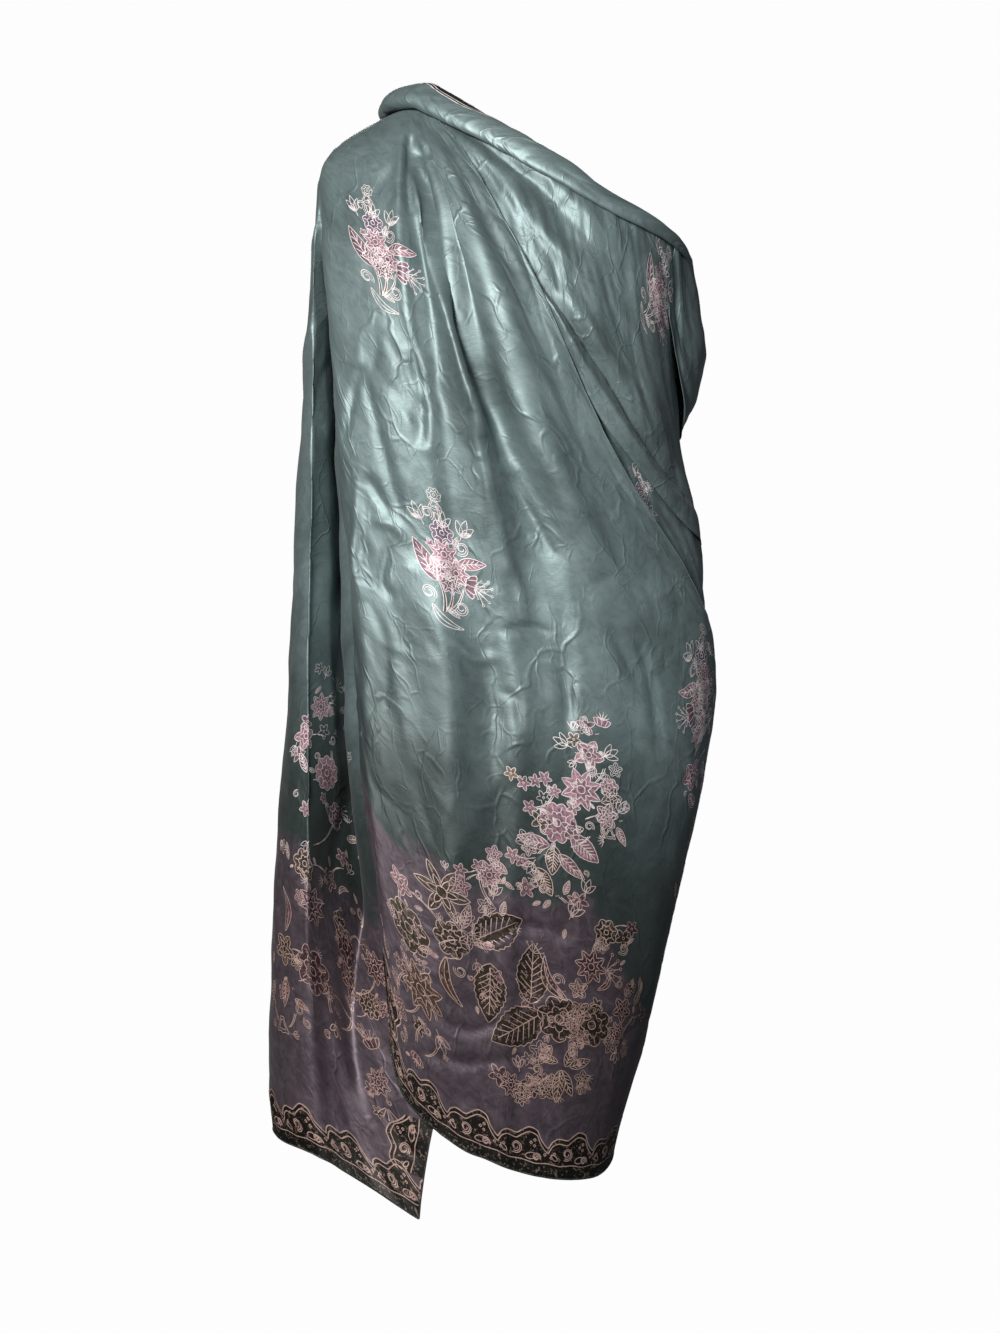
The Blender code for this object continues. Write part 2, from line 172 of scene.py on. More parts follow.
def even_shares(places, step):
    """Shares of the way along the rows that are about a step apart on average."""
    run = np.linalg.norm(np.diff(places, axis=0), axis=-1).mean(axis=1)
    travelled = np.concatenate([[0], np.cumsum(run)])
    count = int(round(travelled[-1] / step))
    return np.interp(np.linspace(0, travelled[-1], count + 1), travelled, np.linspace(0, 1, len(travelled)))


def falling_form(table, across, down):
    """Grid of a hanging stretch: curves down each strand, then curves across the strands."""
    angle = curve(SHARES, np.array([row[3] for row in table], float).T, down).T
    lift = curve(SHARES, np.array([row[4] for row in table], float).T, down).T
    tops, hems = (np.array([row[column] for row in table], float) for column in (1, 2))
    height = tops[:, None] + (hems - tops)[:, None] * down
    angle, height, lift = (curve(np.arange(len(table)), values, across) for values in (angle, height, lift))
    return on_form(angle, height, lift)


def even_grid(form, table, step):
    """The form of a table on a grid whose points are about a step apart both ways."""
    count = len(table) - 1
    coarse = form(table, np.linspace(0, count, count * 16 + 1), np.linspace(0, 1, 161))
    return form(table, count * even_shares(coarse, step), even_shares(coarse.swapaxes(0, 1), step))


def lengths(places):
    """Cut coordinates of a grid: the distance across from the first row and the distance up
    from the last column, in metres."""
    across = np.linalg.norm(np.diff(places, axis=0), axis=-1).cumsum(axis=0)
    down = np.linalg.norm(np.diff(places, axis=1), axis=-1).cumsum(axis=1)
    across = np.concatenate([np.zeros((1, places.shape[1])), across])
    down = np.concatenate([np.zeros((places.shape[0], 1)), down], axis=1)
    return across * 0.001, (down[:, -1:] - down) * 0.001


def placed_creases(places, outward, table):
    """Height added by listed creases: each is its height times a bell of the
    distance to its line, tapered to nothing at both ends, on the front alone."""
    added = np.zeros(places.shape[:2])
    faces_front = np.clip(0.6 - 2.5 * outward[..., 1], 0, 1)
    flat = places[..., (0, 2)]
    for _, width, height, line in table:
        line = np.array(line, float)
        steps = np.linalg.norm(np.diff(line, axis=0), axis=1)
        passed = np.concatenate([[0], steps.cumsum()])
        line = curve(passed, line, np.linspace(0, passed[-1], 25))
        starts, ways = line[:-1], np.diff(line, axis=0)
        away = flat[..., None, :] - starts
        t = np.clip((away * ways).sum(-1) / (ways**2).sum(-1), 0, 1)
        gap = np.linalg.norm(away - t[..., None] * ways, axis=-1)
        nearest = gap.argmin(axis=-1)[..., None]
        along = (np.take_along_axis(t, nearest, -1)[..., 0] + nearest[..., 0]) / len(ways)
        bell = np.exp(-(np.take_along_axis(gap, nearest, -1)[..., 0] / width) ** 2)
        added += height * bell * np.clip(4 * along * (1 - along), 0, 1) ** 0.6
    return added * faces_front


def small_creases(across, up, seed, count, long, wide, high, lean):
    """Height added by scattered creases: each is a sharp-topped bell, exp(-distance / width),
    about a bowed line that leans some degrees from the way down, tapered at both ends."""
    rng = np.random.default_rng(seed)
    added = np.zeros(across.shape)
    x, y = across * 1000, up * 1000
    for _ in range(count):
        middle_x, middle_y = rng.uniform(x.min(), x.max()), rng.uniform(y.min(), y.max())
        half, width = rng.uniform(*long) / 2, rng.uniform(*wide)
        height = rng.uniform(*high) * rng.choice((-1, -1, 1))
        turn = np.radians(rng.normal(0, lean))
        bow = rng.uniform(-0.12, 0.12) / half
        along = (x - middle_x) * np.sin(turn) + (y - middle_y) * np.cos(turn)
        aside = (x - middle_x) * np.cos(turn) - (y - middle_y) * np.sin(turn) - bow * along**2
        taper = np.clip(1 - (along / half) ** 2, 0, 1)
        added += height * taper * np.exp(-np.sqrt(aside**2 + 1) / width)
    return added


def crushed(across, up, seed, cell, stretch, high):
    """Height added by crushed silk: the distance in cells to the nearest of scattered points,
    times high, so that flat facets meet in ridges. Cells are cell wide and stretch times
    as long, and lean to the right on their way down."""
    rng = np.random.default_rng(seed)
    x, y = across * 1000 / cell, up * 1000 / (cell * stretch)
    lean, sway, sways = 0.45, 0.3, 1.7      # cells aside for each cell up, and a wave on it
    x = x + lean * y + sway * np.sin(sways * y)
    points = rng.uniform((x.min(), y.min()), (x.max(), y.max()), (int(np.ptp(x) * np.ptp(y)) + 1, 2))
    flat = np.stack([x, y], axis=-1).reshape(-1, 2)
    near = np.concatenate([((part[:, None] - points) ** 2).sum(-1).min(1) for part in np.array_split(flat, 40)])
    return high * (np.sqrt(near).reshape(x.shape) - 0.5)


def turned_under(places, outward, cut, radius):
    """Adds rows before the first that turn its edge under, half a round of the radius
    behind it, and gives them cut coordinates that run on."""
    added = 7
    beyond = places[0] - places[1]
    beyond /= np.linalg.norm(beyond, axis=-1, keepdims=True)
    turn = np.radians(np.linspace(160, 25, added))[:, None, None]
    size = np.asarray(radius)[..., None]
    rows = places[0] - outward[0] * size + (outward[0] * np.cos(turn) + beyond * np.sin(turn)) * size
    beside = cut[0][:1] - np.linspace(0.008, 0.001, added)[:, None]
    level = np.repeat(cut[1][:1], added, axis=0)
    return np.concatenate([rows, places]), [np.concatenate([beside, cut[0]]), np.concatenate([level, cut[1]])]


def linear(code):
    """Linear colour of an sRGB hex code: ((s + 0.055) / 1.055) to the power 2.4, or s / 12.92
    near black."""
    parts = np.array([int(code[start:start + 2], 16) for start in (1, 3, 5)]) / 255
    parts = np.where(parts <= 0.04045, parts / 12.92, ((parts + 0.055) / 1.055) ** 2.4)
    return (*parts.tolist(), 1.0)


def add(tree, kind, settings={}, inputs={}, links={}, stops=()):
    """Adds a node: settings are its properties, inputs the values of its sockets, links
    the sockets that other nodes' outputs go to, stops the (place, hex) colours of a ramp."""
    node = tree.nodes.new(kind)
    for name, value in settings.items():
        setattr(node, name, value)
    for name, value in inputs.items():
        node.inputs[name].default_value = value
    for name, source in links.items():
        tree.links.new(source, node.inputs[name])
    for place, _ in stops[1:-1]:
        node.color_ramp.elements.new(place)
    for number, (place, code) in enumerate(stops):
        node.color_ramp.elements[number].position = place
        node.color_ramp.elements[number].color = linear(code)
    return node


def new_material(name):
    """A new material, its node tree and its shader."""
    material = bpy.data.materials.new(name)
    material.use_nodes = True
    return material, material.node_tree, material.node_tree.nodes["Principled BSDF"]


FACTOR, FIRST, SECOND, MIXED = 0, 6, 7, 2     # sockets of a colour mix, by number


def printed_satin(name, mauve_from=None, dips=(9, 10)):
    """Silk satin, woven and dyed: a soft broad gloss, part of it tinted by the silk, and
    cloudy teal dye. Where mauve_from is given, it turns a darker green, partly the dye and
    partly painted shade, and then mauve below that height over the hem (metres), and 0.1 lower beyond the across places
    in dips."""
    material, tree, shader = new_material(name)
    cut = add(tree, "ShaderNodeUVMap", {"uv_map": "cut"}).outputs["UV"]
    clouds = add(tree, "ShaderNodeTexNoise", {},
                 {"Scale": 11, "Detail": 3, "Roughness": 0.55, "Distortion": 0.6}, {"Vector": cut}).outputs["Fac"]
    mottle = add(tree, "ShaderNodeTexNoise", {},
                 {"Scale": 75, "Detail": 4, "Roughness": 0.62, "Distortion": 1.2}, {"Vector": cut}).outputs["Fac"]
    dye = add(tree, "ShaderNodeValToRGB", links={"Fac": clouds},
              stops=[(0.3, "#617173"), (0.5, "#728587"), (0.7, "#829597")]).outputs["Color"]
    if mauve_from:
        apart = add(tree, "ShaderNodeSeparateXYZ", links={"Vector": cut})
        wander = add(tree, "ShaderNodeMath", {"operation": "MULTIPLY_ADD"}, {1: 0.10, 2: -0.05}, {0: clouds})
        level = add(tree, "ShaderNodeMath", {"operation": "ADD"},
                    links={0: apart.outputs["Y"], 1: wander.outputs[0]})
        dip = add(tree, "ShaderNodeMapRange", {"interpolation_type": "SMOOTHSTEP"},
                  {"From Min": dips[0], "From Max": dips[1], "To Max": 0.1}, {"Value": apart.outputs["X"]})
        level = add(tree, "ShaderNodeMath", {"operation": "ADD"}, links={0: level.outputs[0], 1: dip.outputs[0]})
        mauve = add(tree, "ShaderNodeValToRGB", links={"Fac": mottle},
                    stops=[(0.3, "#4e454d"), (0.5, "#584e57"), (0.72, "#635962")]).outputs["Color"]
        # above the mauve the ground turns a darker green: partly the dye's own green, partly painted shade of the cloth
        # turning away from the light
        near_hem, green_and_painted_shade = (
            add(tree, "ShaderNodeMapRange", {"interpolation_type": "SMOOTHSTEP"},
                {"From Min": mauve_from + above, "From Max": mauve_from + below},
                {"Value": level.outputs[0]}).outputs[0]
            for above, below in ((0.012, -0.012), (0.26, 0.02)))
        dye = add(tree, "ShaderNodeMix", {"data_type": "RGBA"}, {SECOND: linear("#3d4948")},
                  {FACTOR: green_and_painted_shade, FIRST: dye}).outputs[MIXED]
        dye = add(tree, "ShaderNodeMix", {"data_type": "RGBA"},
                  links={FACTOR: near_hem, FIRST: dye, SECOND: mauve}).outputs[MIXED]
    shade = add(tree, "ShaderNodeValToRGB", links={"Fac": mottle},
                stops=[(0.32, "#b4b9b9"), (0.5, "#e6e8e8"), (0.66, "#ffffff")]).outputs["Color"]
    dye = add(tree, "ShaderNodeMix", {"data_type": "RGBA", "blend_type": "MULTIPLY"}, {FACTOR: 0.35},
              {FIRST: dye, SECOND: shade}).outputs[MIXED]
    tree.links.new(dye, shader.inputs["Base Color"])
    gloss = add(tree, "ShaderNodeMapRange", {},
                {"From Min": 0.3, "From Max": 0.7, "To Min": 0.45, "To Max": 0.55}, {"Value": mottle})
    tree.links.new(gloss.outputs[0], shader.inputs["Roughness"])
    shader.inputs["Metallic"].default_value = 0.48
    shader.inputs["Sheen Weight"].default_value = 0.1
    shader.inputs["Sheen Roughness"].default_value = 0.4
    # crushed silk: thin broken fold lines about 55 mm and 25 mm apart that lean to the right
    # on their way down, over soft lumps 25 mm across; the slubs of the weave on top are drawn
    # 1 mm by 4 mm, far coarser than the threads, so that they show
    wave = add(tree, "ShaderNodeTexNoise", {}, {"Scale": 20, "Detail": 2}, {"Vector": cut}).outputs["Color"]
    bent = add(tree, "ShaderNodeMixRGB", {"blend_type": "ADD"}, {"Fac": 0.045},
               {"Color1": cut, "Color2": wave}).outputs[0]
    leaning = add(tree, "ShaderNodeMapping", {}, {"Rotation": (0, 0, 0.45), "Scale": (1.5, 0.8, 1)}, {"Vector": bent})
    lumps = add(tree, "ShaderNodeTexNoise", {}, {"Scale": 40, "Detail": 3, "Roughness": 0.5, "Distortion": 0.9},
                {"Vector": cut}).outputs["Fac"]
    bump = add(tree, "ShaderNodeBump", {}, {"Strength": 0.3, "Distance": 0.0016}, {"Height": lumps})
    for scale, strength, thin in ((18, 0.3, 0.06), (40, 0.22, 0.08)):
        edges = add(tree, "ShaderNodeTexVoronoi", {"feature": "DISTANCE_TO_EDGE"}, {"Scale": scale},
                    {"Vector": leaning.outputs[0]})
        fold = add(tree, "ShaderNodeMapRange", {"interpolation_type": "SMOOTHSTEP"},
                   {"From Min": 0.0, "From Max": thin, "To Min": 1, "To Max": 0}, {"Value": edges.outputs["Distance"]})
        spread = add(tree, "ShaderNodeTexNoise", {}, {"Scale": scale * 0.9, "Detail": 1}, {"Vector": cut})
        broken = add(tree, "ShaderNodeMapRange", {}, {"From Min": 0.42, "From Max": 0.62},
                     {"Value": spread.outputs["Fac"]})
        fold = add(tree, "ShaderNodeMath", {"operation": "MULTIPLY"},
                   links={0: fold.outputs[0], 1: broken.outputs[0]})
        bump = add(tree, "ShaderNodeBump", {}, {"Strength": strength, "Distance": 0.03 / scale},
                   {"Height": fold.outputs[0], "Normal": bump.outputs[0]})
    weave = add(tree, "ShaderNodeMapping", inputs={"Scale": (260, 900, 1)}, links={"Vector": cut})
    weave = add(tree, "ShaderNodeTexNoise", inputs={"Scale": 1, "Detail": 2}, links={"Vector": weave.outputs[0]})
    bump = add(tree, "ShaderNodeBump", {}, {"Strength": 0.25, "Distance": 0.0003},
               {"Height": weave.outputs["Fac"], "Normal": bump.outputs[0]})
    tree.links.new(bump.outputs[0], shader.inputs["Normal"])
    return material


def smooth_mesh(name, places, faces, cut, material):
    """Smooth mesh of places in millimetres and faces of four, with the cut coordinates
    (metres) of its places as a UV map."""
    mesh = bpy.data.meshes.new(name)
    mesh.from_pydata((places * 0.001).tolist(), [], faces.tolist())
    mesh.uv_layers.new(name="cut").data.foreach_set("uv", cut[faces.ravel()].ravel())
    mesh.polygons.foreach_set("use_smooth", np.ones(len(faces), bool))
    mesh.materials.append(material)
    piece = bpy.data.objects.new(name, mesh)
    bpy.context.scene.collection.objects.link(piece)
    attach(piece, "root")
    return piece


def grid_mesh(name, places, coordinates, material, wall=0.0):
    """Mesh of a grid, with a wall behind it where one is given."""
    rows, columns = places.shape[:2]
    index = np.arange(rows * columns).reshape(rows, columns)
    faces = np.stack([index[:-1, :-1], index[:-1, 1:], index[1:, 1:], index[1:, :-1]], axis=-1).reshape(-1, 4)
    cut = np.stack(coordinates, axis=-1).reshape(-1, 2)
    piece = smooth_mesh(name, places.reshape(-1, 3), faces, cut, material)
    if wall:
        thick = piece.modifiers.new("wall", "SOLIDIFY")
        thick.thickness = wall * 0.001
        thick.offset = -1
    return piece


front_satin = printed_satin("printed_silk_satin_front_end", 0.25, (0.235, 0.30))
field_satin = printed_satin("printed_silk_satin_field")

front_base = even_grid(falling_form, FRONT_FALL, GRID_STEP)
front_cut = lengths(front_base)
front_lift = placed_creases(front_base, outward_of(front_base), FRONT_CREASES)
front_lift += small_creases(*front_cut, 11, 190, (28, 100), (2.0, 4.0), (0.5, 1.7), 38)
front_lift += small_creases(*front_cut, 12, 40, (120, 320), (6, 12), (0.8, 2.6), 14)
middle_share = np.exp(-((front_base[..., 2] + 440) / 230) ** 2)
front_lift += crushed(*front_cut, 13, 30, 2.2, 1.6) * (0.3 + 0.7 * middle_share)
front_lift += crushed(*front_cut, 14, 17, 1.8, 1.0) * (0.3 + 0.7 * middle_share)
front_free = np.clip((15 - front_base[..., 2]) / 60, 0, 1)
front_places = front_base + outward_of(front_base) * (front_lift * front_free)[..., None]
front_outward = outward_of(front_places)
front_shell, front_shell_cut = turned_under(front_places, front_outward, front_cut,
                                            3 * np.clip((-60 - front_base[0, :, 2]) / 90, 0.1, 1))
front_fall = grid_mesh("front_fall_cloth", front_shell, front_shell_cut, front_satin, WALL)
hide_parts("front_fall")

# The back fall: the other end of the same satin, behind and round the shoulder side in a
# deep hollow, with its lowest corner forward behind the front fall.
BACK_FALL = [
    ("back selvedge", -14, -940, (-27, -53, -70, -92, -116, -134, -147, -154, -156),
     (2.6, 6, 8, 9, 9, 10, 11, 11, 10)),
    ("back ridge three", -11, -948, (-19, -50, -65, -85, -104, -117, -126, -131, -133),
     (2.6, 7, 10, 12, 13, 13, 13, 13, 12)),
    ("back valley two", -10, -950, (-10, -46, -59, -75, -89, -97, -102, -106, -108),
     (2.6, 5, 4, 4, 4, 4, 4, 5, 5)),
    ("back ridge two", -12, -945, (-SEAM_ANGLE, -42, -52, -64, -74, -79, -82, -84, -84),
     (3, 7, 10, 12, 12, 11, 10, 9, 8)),
    ("back valley one", -24, -938, (-SEAM_ANGLE, -36, -43, -50, -56, -58, -60, -60, -58),
     (4, 4, 4, 4, 4, 3, 3, 3, 3)),
    ("back ridge one", -33, -935, (-SEAM_ANGLE, -26, -30, -34, -36, -36, -36, -36, -34),
     (4, 6, 9, 10, 10, 10, 10, 8, 8)),
    ("shoulder side", -47, -940, (-SEAM_ANGLE, -10, -12, -14, -14, -14, -14, -12, -10),
     (4, 5, 5, 6, 6, 6, 6, 6, 5)),
    ("side ridge", -56, -954, (1.5, 5, 11, 19, 25, 28, 35, 40, 44), (1, 3, 4, 4, 4, 4, 4, 4, 4)),
    ("hollow slope", -54, -968, (3, 7, 7, 12, 18, 22, 30, 44, 53),
     (1, 0, -6, -13, -22, -28, -42, -18, -5)),
    ("hollow", -58, -990, (5, 11, 2, -12, -22, -20, 20, 50, 68),
     (1, -2, -14, -28, -45, -58, -82, -40, -12)),
    ("hidden selvedge", -60, -1010, (7, 24, 34, 46, 56, 64, 76, 88, 82),
     (1, 0, -5, -12, -20, -24, -24, -18, -8)),
]
BACK_CREASES = [
    ("side ridge", 7, 2.0, ((-92, -250), (-96, -420), (-100, -600), (-98, -760))),
    ("side valley", 8, -2.5, ((-80, -330), (-82, -500), (-88, -700))),
    ("lower slanting valley", 6, -2.5, ((-60, -770), (-48, -850), (-40, -900))),
    ("lower slanting ridge", 6, 2.0, ((-72, -790), (-58, -860), (-30, -940))),
    ("corner crease", 5, -1.6, ((-20, -900), (0, -940), (20, -960))),
]

back_satin = printed_satin("printed_silk_satin_back_end", 0.27)
back_base = even_grid(falling_form, BACK_FALL, GRID_STEP)
back_cut = lengths(back_base)
back_lift = placed_creases(back_base, outward_of(back_base), BACK_CREASES)
back_lift += small_creases(*back_cut, 21, 110, (35, 120), (2.2, 4.5), (0.3, 1.3), 32)
back_lift += small_creases(*back_cut, 22, 60, (140, 420), (8, 16), (1.0, 3.5), 9)
back_lift += crushed(*back_cut, 23, 38, 1.9, 2.2) + crushed(*back_cut, 24, 21, 1.5, 0.8)
back_free = np.clip((-60 - back_base[..., 2]) / 90, 0, 1)
back_places = back_base + outward_of(back_base) * (back_lift * back_free)[..., None]
back_outward = outward_of(back_places)
back_fall = grid_mesh("back_fall_cloth", back_places, back_cut, back_satin, WALL)
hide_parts("back_fall")

# The torso sweep: the middle of the scarf, satin drawn slanting from the gather across the
# chest, under the far arm, over the back and up to the shoulder again.
SWEEP_ACROSS = (0, 0.1, 0.2, 0.38, 0.55, 0.72, 1)
# angle, upper edge height, lower edge height, lifts at these shares across it
TORSO_SWEEP = [
    (56, -6, -25, (1, 1, 1, 1, 1, 0.9, 0.9)), (62, -10, -36, (1, 1, 1, 1.2, 1.5, 1.2, 0.8)),
    (72, -20, -63, (1, 1, 0.5, 3, 2, 1, 0)), (83, -35, -106, (1, 2, -1, 5, 2.5, 1.5, 0)),
    (93, -54, -162, (1, 4, -2, 6, 3, 2, 0)), (103, -71, -225, (1, 5, -2, 5, 2, 1.5, 0)),
    (115, -91, -310, (1, 5, 0, 3, 1, 1, 0)), (130, -107, -395, (0.5, 4, 0, 1.5, 1, 1, 0)),
    (145, -118, -470, (0, 3, 1, 1, 1, 2, 0)), (158, -128, -515, (0, 1, 1, 0.5, 1, 3, 0)),
    (167, -135, -550, (0, 0, 0, 0.5, 4, 5, 0)), (178, -137, -590, (0, 0, 0, 1, 8, 2, 0)),
    (195, -149, -630, (0, 0, 0, 1, 6, 0.5, 0)), (218, -176, -660, (0, 1, 0, 1, 2, 0.5, 0)),
    (242, -156, -600, (0, 1, 0, 1, 0, 1, 0)), (266, -111, -490, (0, 1, 0, 1, 0, 1, 0)),
    (288, -74, -360, (0, 1, 0, 1, 0, 1, 0)), (306, -41, -220, (0, 1, 0, 1, 0, 1, 0)),
    (322, -17, -100, (0, 0.5, 0, 0.5, 0, 0.5, 0)),
]
SWEEP_CREASES = [
    ("neckline ridge", 9, 6.5,
     ((29, -25), (53, -38), (71, -50), (88, -66), (107, -97), (129, -128), (155, -161))),
    ("neckline valley", 8, -5, ((71, -43), (91, -68), (108, -93), (126, -120), (155, -147))),
    ("bust valley", 9, -7, ((102, -149), (113, -166), (148, -212), (185, -265), (211, -313), (249, -363))),
    ("valley by the hem", 7, -4, ((162, -274), (183, -307), (223, -360), (259, -401))),
    ("bust ridge", 11, 6, ((142, -181), (168, -221), (200, -270), (231, -314))),
]


def sweeping_form(table, stations, across):
    """Grid of a stretch that runs round: curves across each station, then along them. The
    shares across belong to the table's own row length."""
    shares = {7: SWEEP_ACROSS, 3: (0, 0.45, 1), 5: (0, 0.25, 0.5, 0.75, 1)}[len(table[0][3])]
    angles, uppers, lowers = (np.array([row[column] for row in table], float) for column in (0, 1, 2))
    lift = curve(shares, np.array([row[3] for row in table], float).T, across).T
    height = uppers[:, None] + (lowers - uppers)[:, None] * across
    angle = np.repeat(angles[:, None], len(across), axis=1)
    angle, height, lift = (curve(np.arange(len(table)), values, stations) for values in (angle, height, lift))
    return on_form(angle, height, lift)


sweep_base = even_grid(sweeping_form, TORSO_SWEEP, GRID_STEP)
sweep_cut = lengths(sweep_base)
sweep_lift = placed_creases(sweep_base, outward_of(sweep_base), SWEEP_CREASES)
sweep_lift += small_creases(*sweep_cut, 31, 80, (60, 260), (3, 8), (0.3, 1.4), 70)
sweep_lift += crushed(*sweep_cut, 33, 40, 0.6, 1.7) + crushed(*sweep_cut, 34, 22, 0.6, 0.8)
sweep_free = np.clip((-30 - sweep_base[..., 2]) / 60, 0, 1)
sweep_places = sweep_base + outward_of(sweep_base) * (sweep_lift * sweep_free)[..., None]
sweep_outward = outward_of(sweep_places)
torso_sweep = grid_mesh("torso_sweep_cloth", sweep_places, sweep_cut, field_satin, WALL)
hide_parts("torso_sweep")

# The sweep fold: a plump fold of the same satin that lies on the sweep, from a point on
# the chest round below the far arm to the back.
SWEEP_FOLD = [
    (98, -163, -170, (5, 5, 5)), (103, -184, -194, (4.5, 6.5, 5)), (106.5, -196, -211, (4, 9, 5)),
    (110, -209, -232, (4, 10, 5)), (114, -226, -255, (4, 10, 5)), (118, -241, -280, (4, 10, 5)),
    (124, -262, -306, (3.5, 10, 5)), (131, -290, -327, (3, 10, 5)), (137, -311, -344, (3, 10, 5)),
    (145, -332, -363, (3, 9, 5)), (153, -348, -378, (3, 8, 5)), (162, -356, -392, (4, 9, 7)),
    (172, -361, -400, (5, 10, 8.5)), (186, -366, -406, (5, 10, 8.5)), (202, -366, -402, (4, 8, 6)),
    (218, -360, -392, (3, 5, 3)), (234, -352, -380, (3, 4.5, 3)), (250, -345, -368, (3, 4, 3)),
]
fold_base = even_grid(sweeping_form, SWEEP_FOLD, 2.0)
fold_cut = lengths(fold_base)
fold_lift = small_creases(*fold_cut, 41, 60, (20, 90), (1.5, 3.5), (0.4, 1.2), 70)
fold_places = fold_base + outward_of(fold_base) * fold_lift[..., None]
fold_shell, fold_shell_cut = turned_under(fold_places.swapaxes(0, 1), outward_of(fold_places).swapaxes(0, 1),
                                          [fold_cut[0].T, fold_cut[1].T], 1.6)
sweep_fold = grid_mesh("sweep_fold_cloth", fold_shell.swapaxes(0, 1), [values.T for values in fold_shell_cut],
                       field_satin, WALL)
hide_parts("sweep_fold")

# The underarm loop: slack satin below the far arm that stands away from the chest and
# leaves a dark slit in front of it.
UNDERARM_LOOP = [
    (157, -126, -196, (1.6, 1.6, 1.6, 1.6, 1.6)), (163, -129, -226, (1.8, 3, 3, 3.5, 5)),
    (170, -133, -276, (3, 9, 12, 11, 8)), (179, -135, -304, (8, 19, 26, 18, 3)),
    (189, -138, -307, (11, 24, 33, 22, 1.8)), (203, -143, -302, (8, 16, 21, 14, 2)),
    (217, -152, -292, (5, 9, 11, 8, 3)), (229, -164, -281, (3.5, 6, 7, 5, 3)),
    (240, -180, -264, (3, 4, 5, 4, 3)), (248, -200, -243, (2, 3, 3, 3, 2)),
]
loop_base = even_grid(sweeping_form, UNDERARM_LOOP, 2.4)
loop_cut = lengths(loop_base)
loop_lift = small_creases(*loop_cut, 51, 34, (60, 150), (3, 8), (0.8, 3.2), 78)
loop_lift += crushed(*loop_cut, 53, 26, 0.8, 1.6)
loop_places = loop_base + outward_of(loop_base) * loop_lift[..., None]
underarm_loop = grid_mesh("underarm_loop_cloth", loop_places, loop_cut, field_satin, WALL)
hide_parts("underarm_loop")

# The neck roll: the turned-over upper edge, a soft open roll of satin from the back over
# the shoulder and along the neckline to the far arm.
NECK_ROLL = np.array([
    (-130, -178, 5.5, 2.8), (-114, -150, 6.5, 3.2), (-94, -112, 8, 4), (-74, -76, 9, 4.5),
    (-56, -44, 11, 5.5), (-38, -18, 13, 7), (-14, -5, 15, 9), (10, -2, 16, 10), (35, -1, 16, 9),
    (55, -8, 15, 6.5), (70, -20, 14, 5.5), (80, -32, 13, 5.5), (88, -45, 13, 5.5), (95, -60, 13, 5),
    (103, -74, 12, 4.5), (112, -90, 10, 4), (122, -103, 9, 3.4), (135, -114, 8, 3),
    (150, -125, 6, 2.6), (163, -133, 5, 2.4), (171, -137, 4, 2.6),
], float)             # angle, height of its middle, half its breadth, half its thickness
ROLL_SEAT = 1.6       # how far the underside of the roll stands off the oval
ROLL_OPENING = 34     # half of the open part of the roll, facing the body, in degrees


def roll_form(path_places, turns):
    """Grid of the roll: at each place of its path an open oval ring, breadth up and down
    and thickness out, square to the path."""
    angle, height, breadth, thick = curve(np.arange(len(NECK_ROLL)), NECK_ROLL, path_places).T
    outward = form_outward(angle, height)
    middle = form_place(angle, height) + outward * (thick + ROLL_SEAT)[:, None]
    along = np.gradient(middle, axis=0)
    along /= np.linalg.norm(along, axis=1, keepdims=True)
    outward -= along * np.sum(outward * along, axis=1, keepdims=True)
    outward /= np.linalg.norm(outward, axis=1, keepdims=True)
    up = np.cross(outward, along)
    turn = np.radians(turns)
    out_part = outward[:, None, :] * (np.sin(turn)[None, :] * thick[:, None])[..., None]
    up_part = up[:, None, :] * (np.cos(turn)[None, :] * breadth[:, None])[..., None]
    return middle[:, None, :] + out_part + up_part


roll_stations = np.linspace(0, len(NECK_ROLL) - 1, 301)
roll_turns = np.linspace(-90 - ROLL_OPENING, -450 + ROLL_OPENING, 49)
roll_base = roll_form(roll_stations, roll_turns)
roll_cut = lengths(roll_base)
roll_outward = outward_of(roll_base)
roll_middle = roll_base.mean(axis=1, keepdims=True)
roll_flip = np.sign(((roll_base - roll_middle) * roll_outward).sum(-1).mean())
roll_lift = small_creases(*roll_cut, 61, 110, (18, 70), (1.5, 3.5), (0.5, 1.5), 85)
roll_places = (roll_base + roll_outward * (roll_flip * roll_lift)[..., None])[::int(roll_flip)]
roll_cut = [values[::int(roll_flip)] for values in roll_cut]
neck_roll = grid_mesh("neck_roll_cloth", roll_places, roll_cut, field_satin, WALL)
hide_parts("neck_roll")

# The print: sprays and a deep band of flowers, leaves and curls towards each end, drawn
# as fine pale lines over soft pink, rose and olive patches. It is dyed into the satin; here
# the patches and lines lie just over the cloth, in its own cut coordinates.
PATCH_LIFT, LINE_LIFT = 0.16, 0.34    # distance of patches and lines out from the cloth
FINE_LINE, BROAD_LINE = 0.52, 0.68    # line width of small and of large motifs
SMALL_MOTIF = 11                      # motifs below this size have the fine line
RIBBON_STEP = 1.6                     # distance between the points of a line


def sample(values, across, down):
    """Value of a grid at broken row and column numbers: a straight blend of four points."""
    across = np.clip(across, 0, values.shape[0] - 1.001)
    down = np.clip(down, 0, values.shape[1] - 1.001)
    row, column = across.astype(int), down.astype(int)
    s, t = (across - row)[:, None], (down - column)[:, None]
    upper = (1 - s) * values[row, column] + s * values[row + 1, column]
    return (1 - t) * upper + t * ((1 - s) * values[row, column + 1] + s * values[row + 1, column + 1])


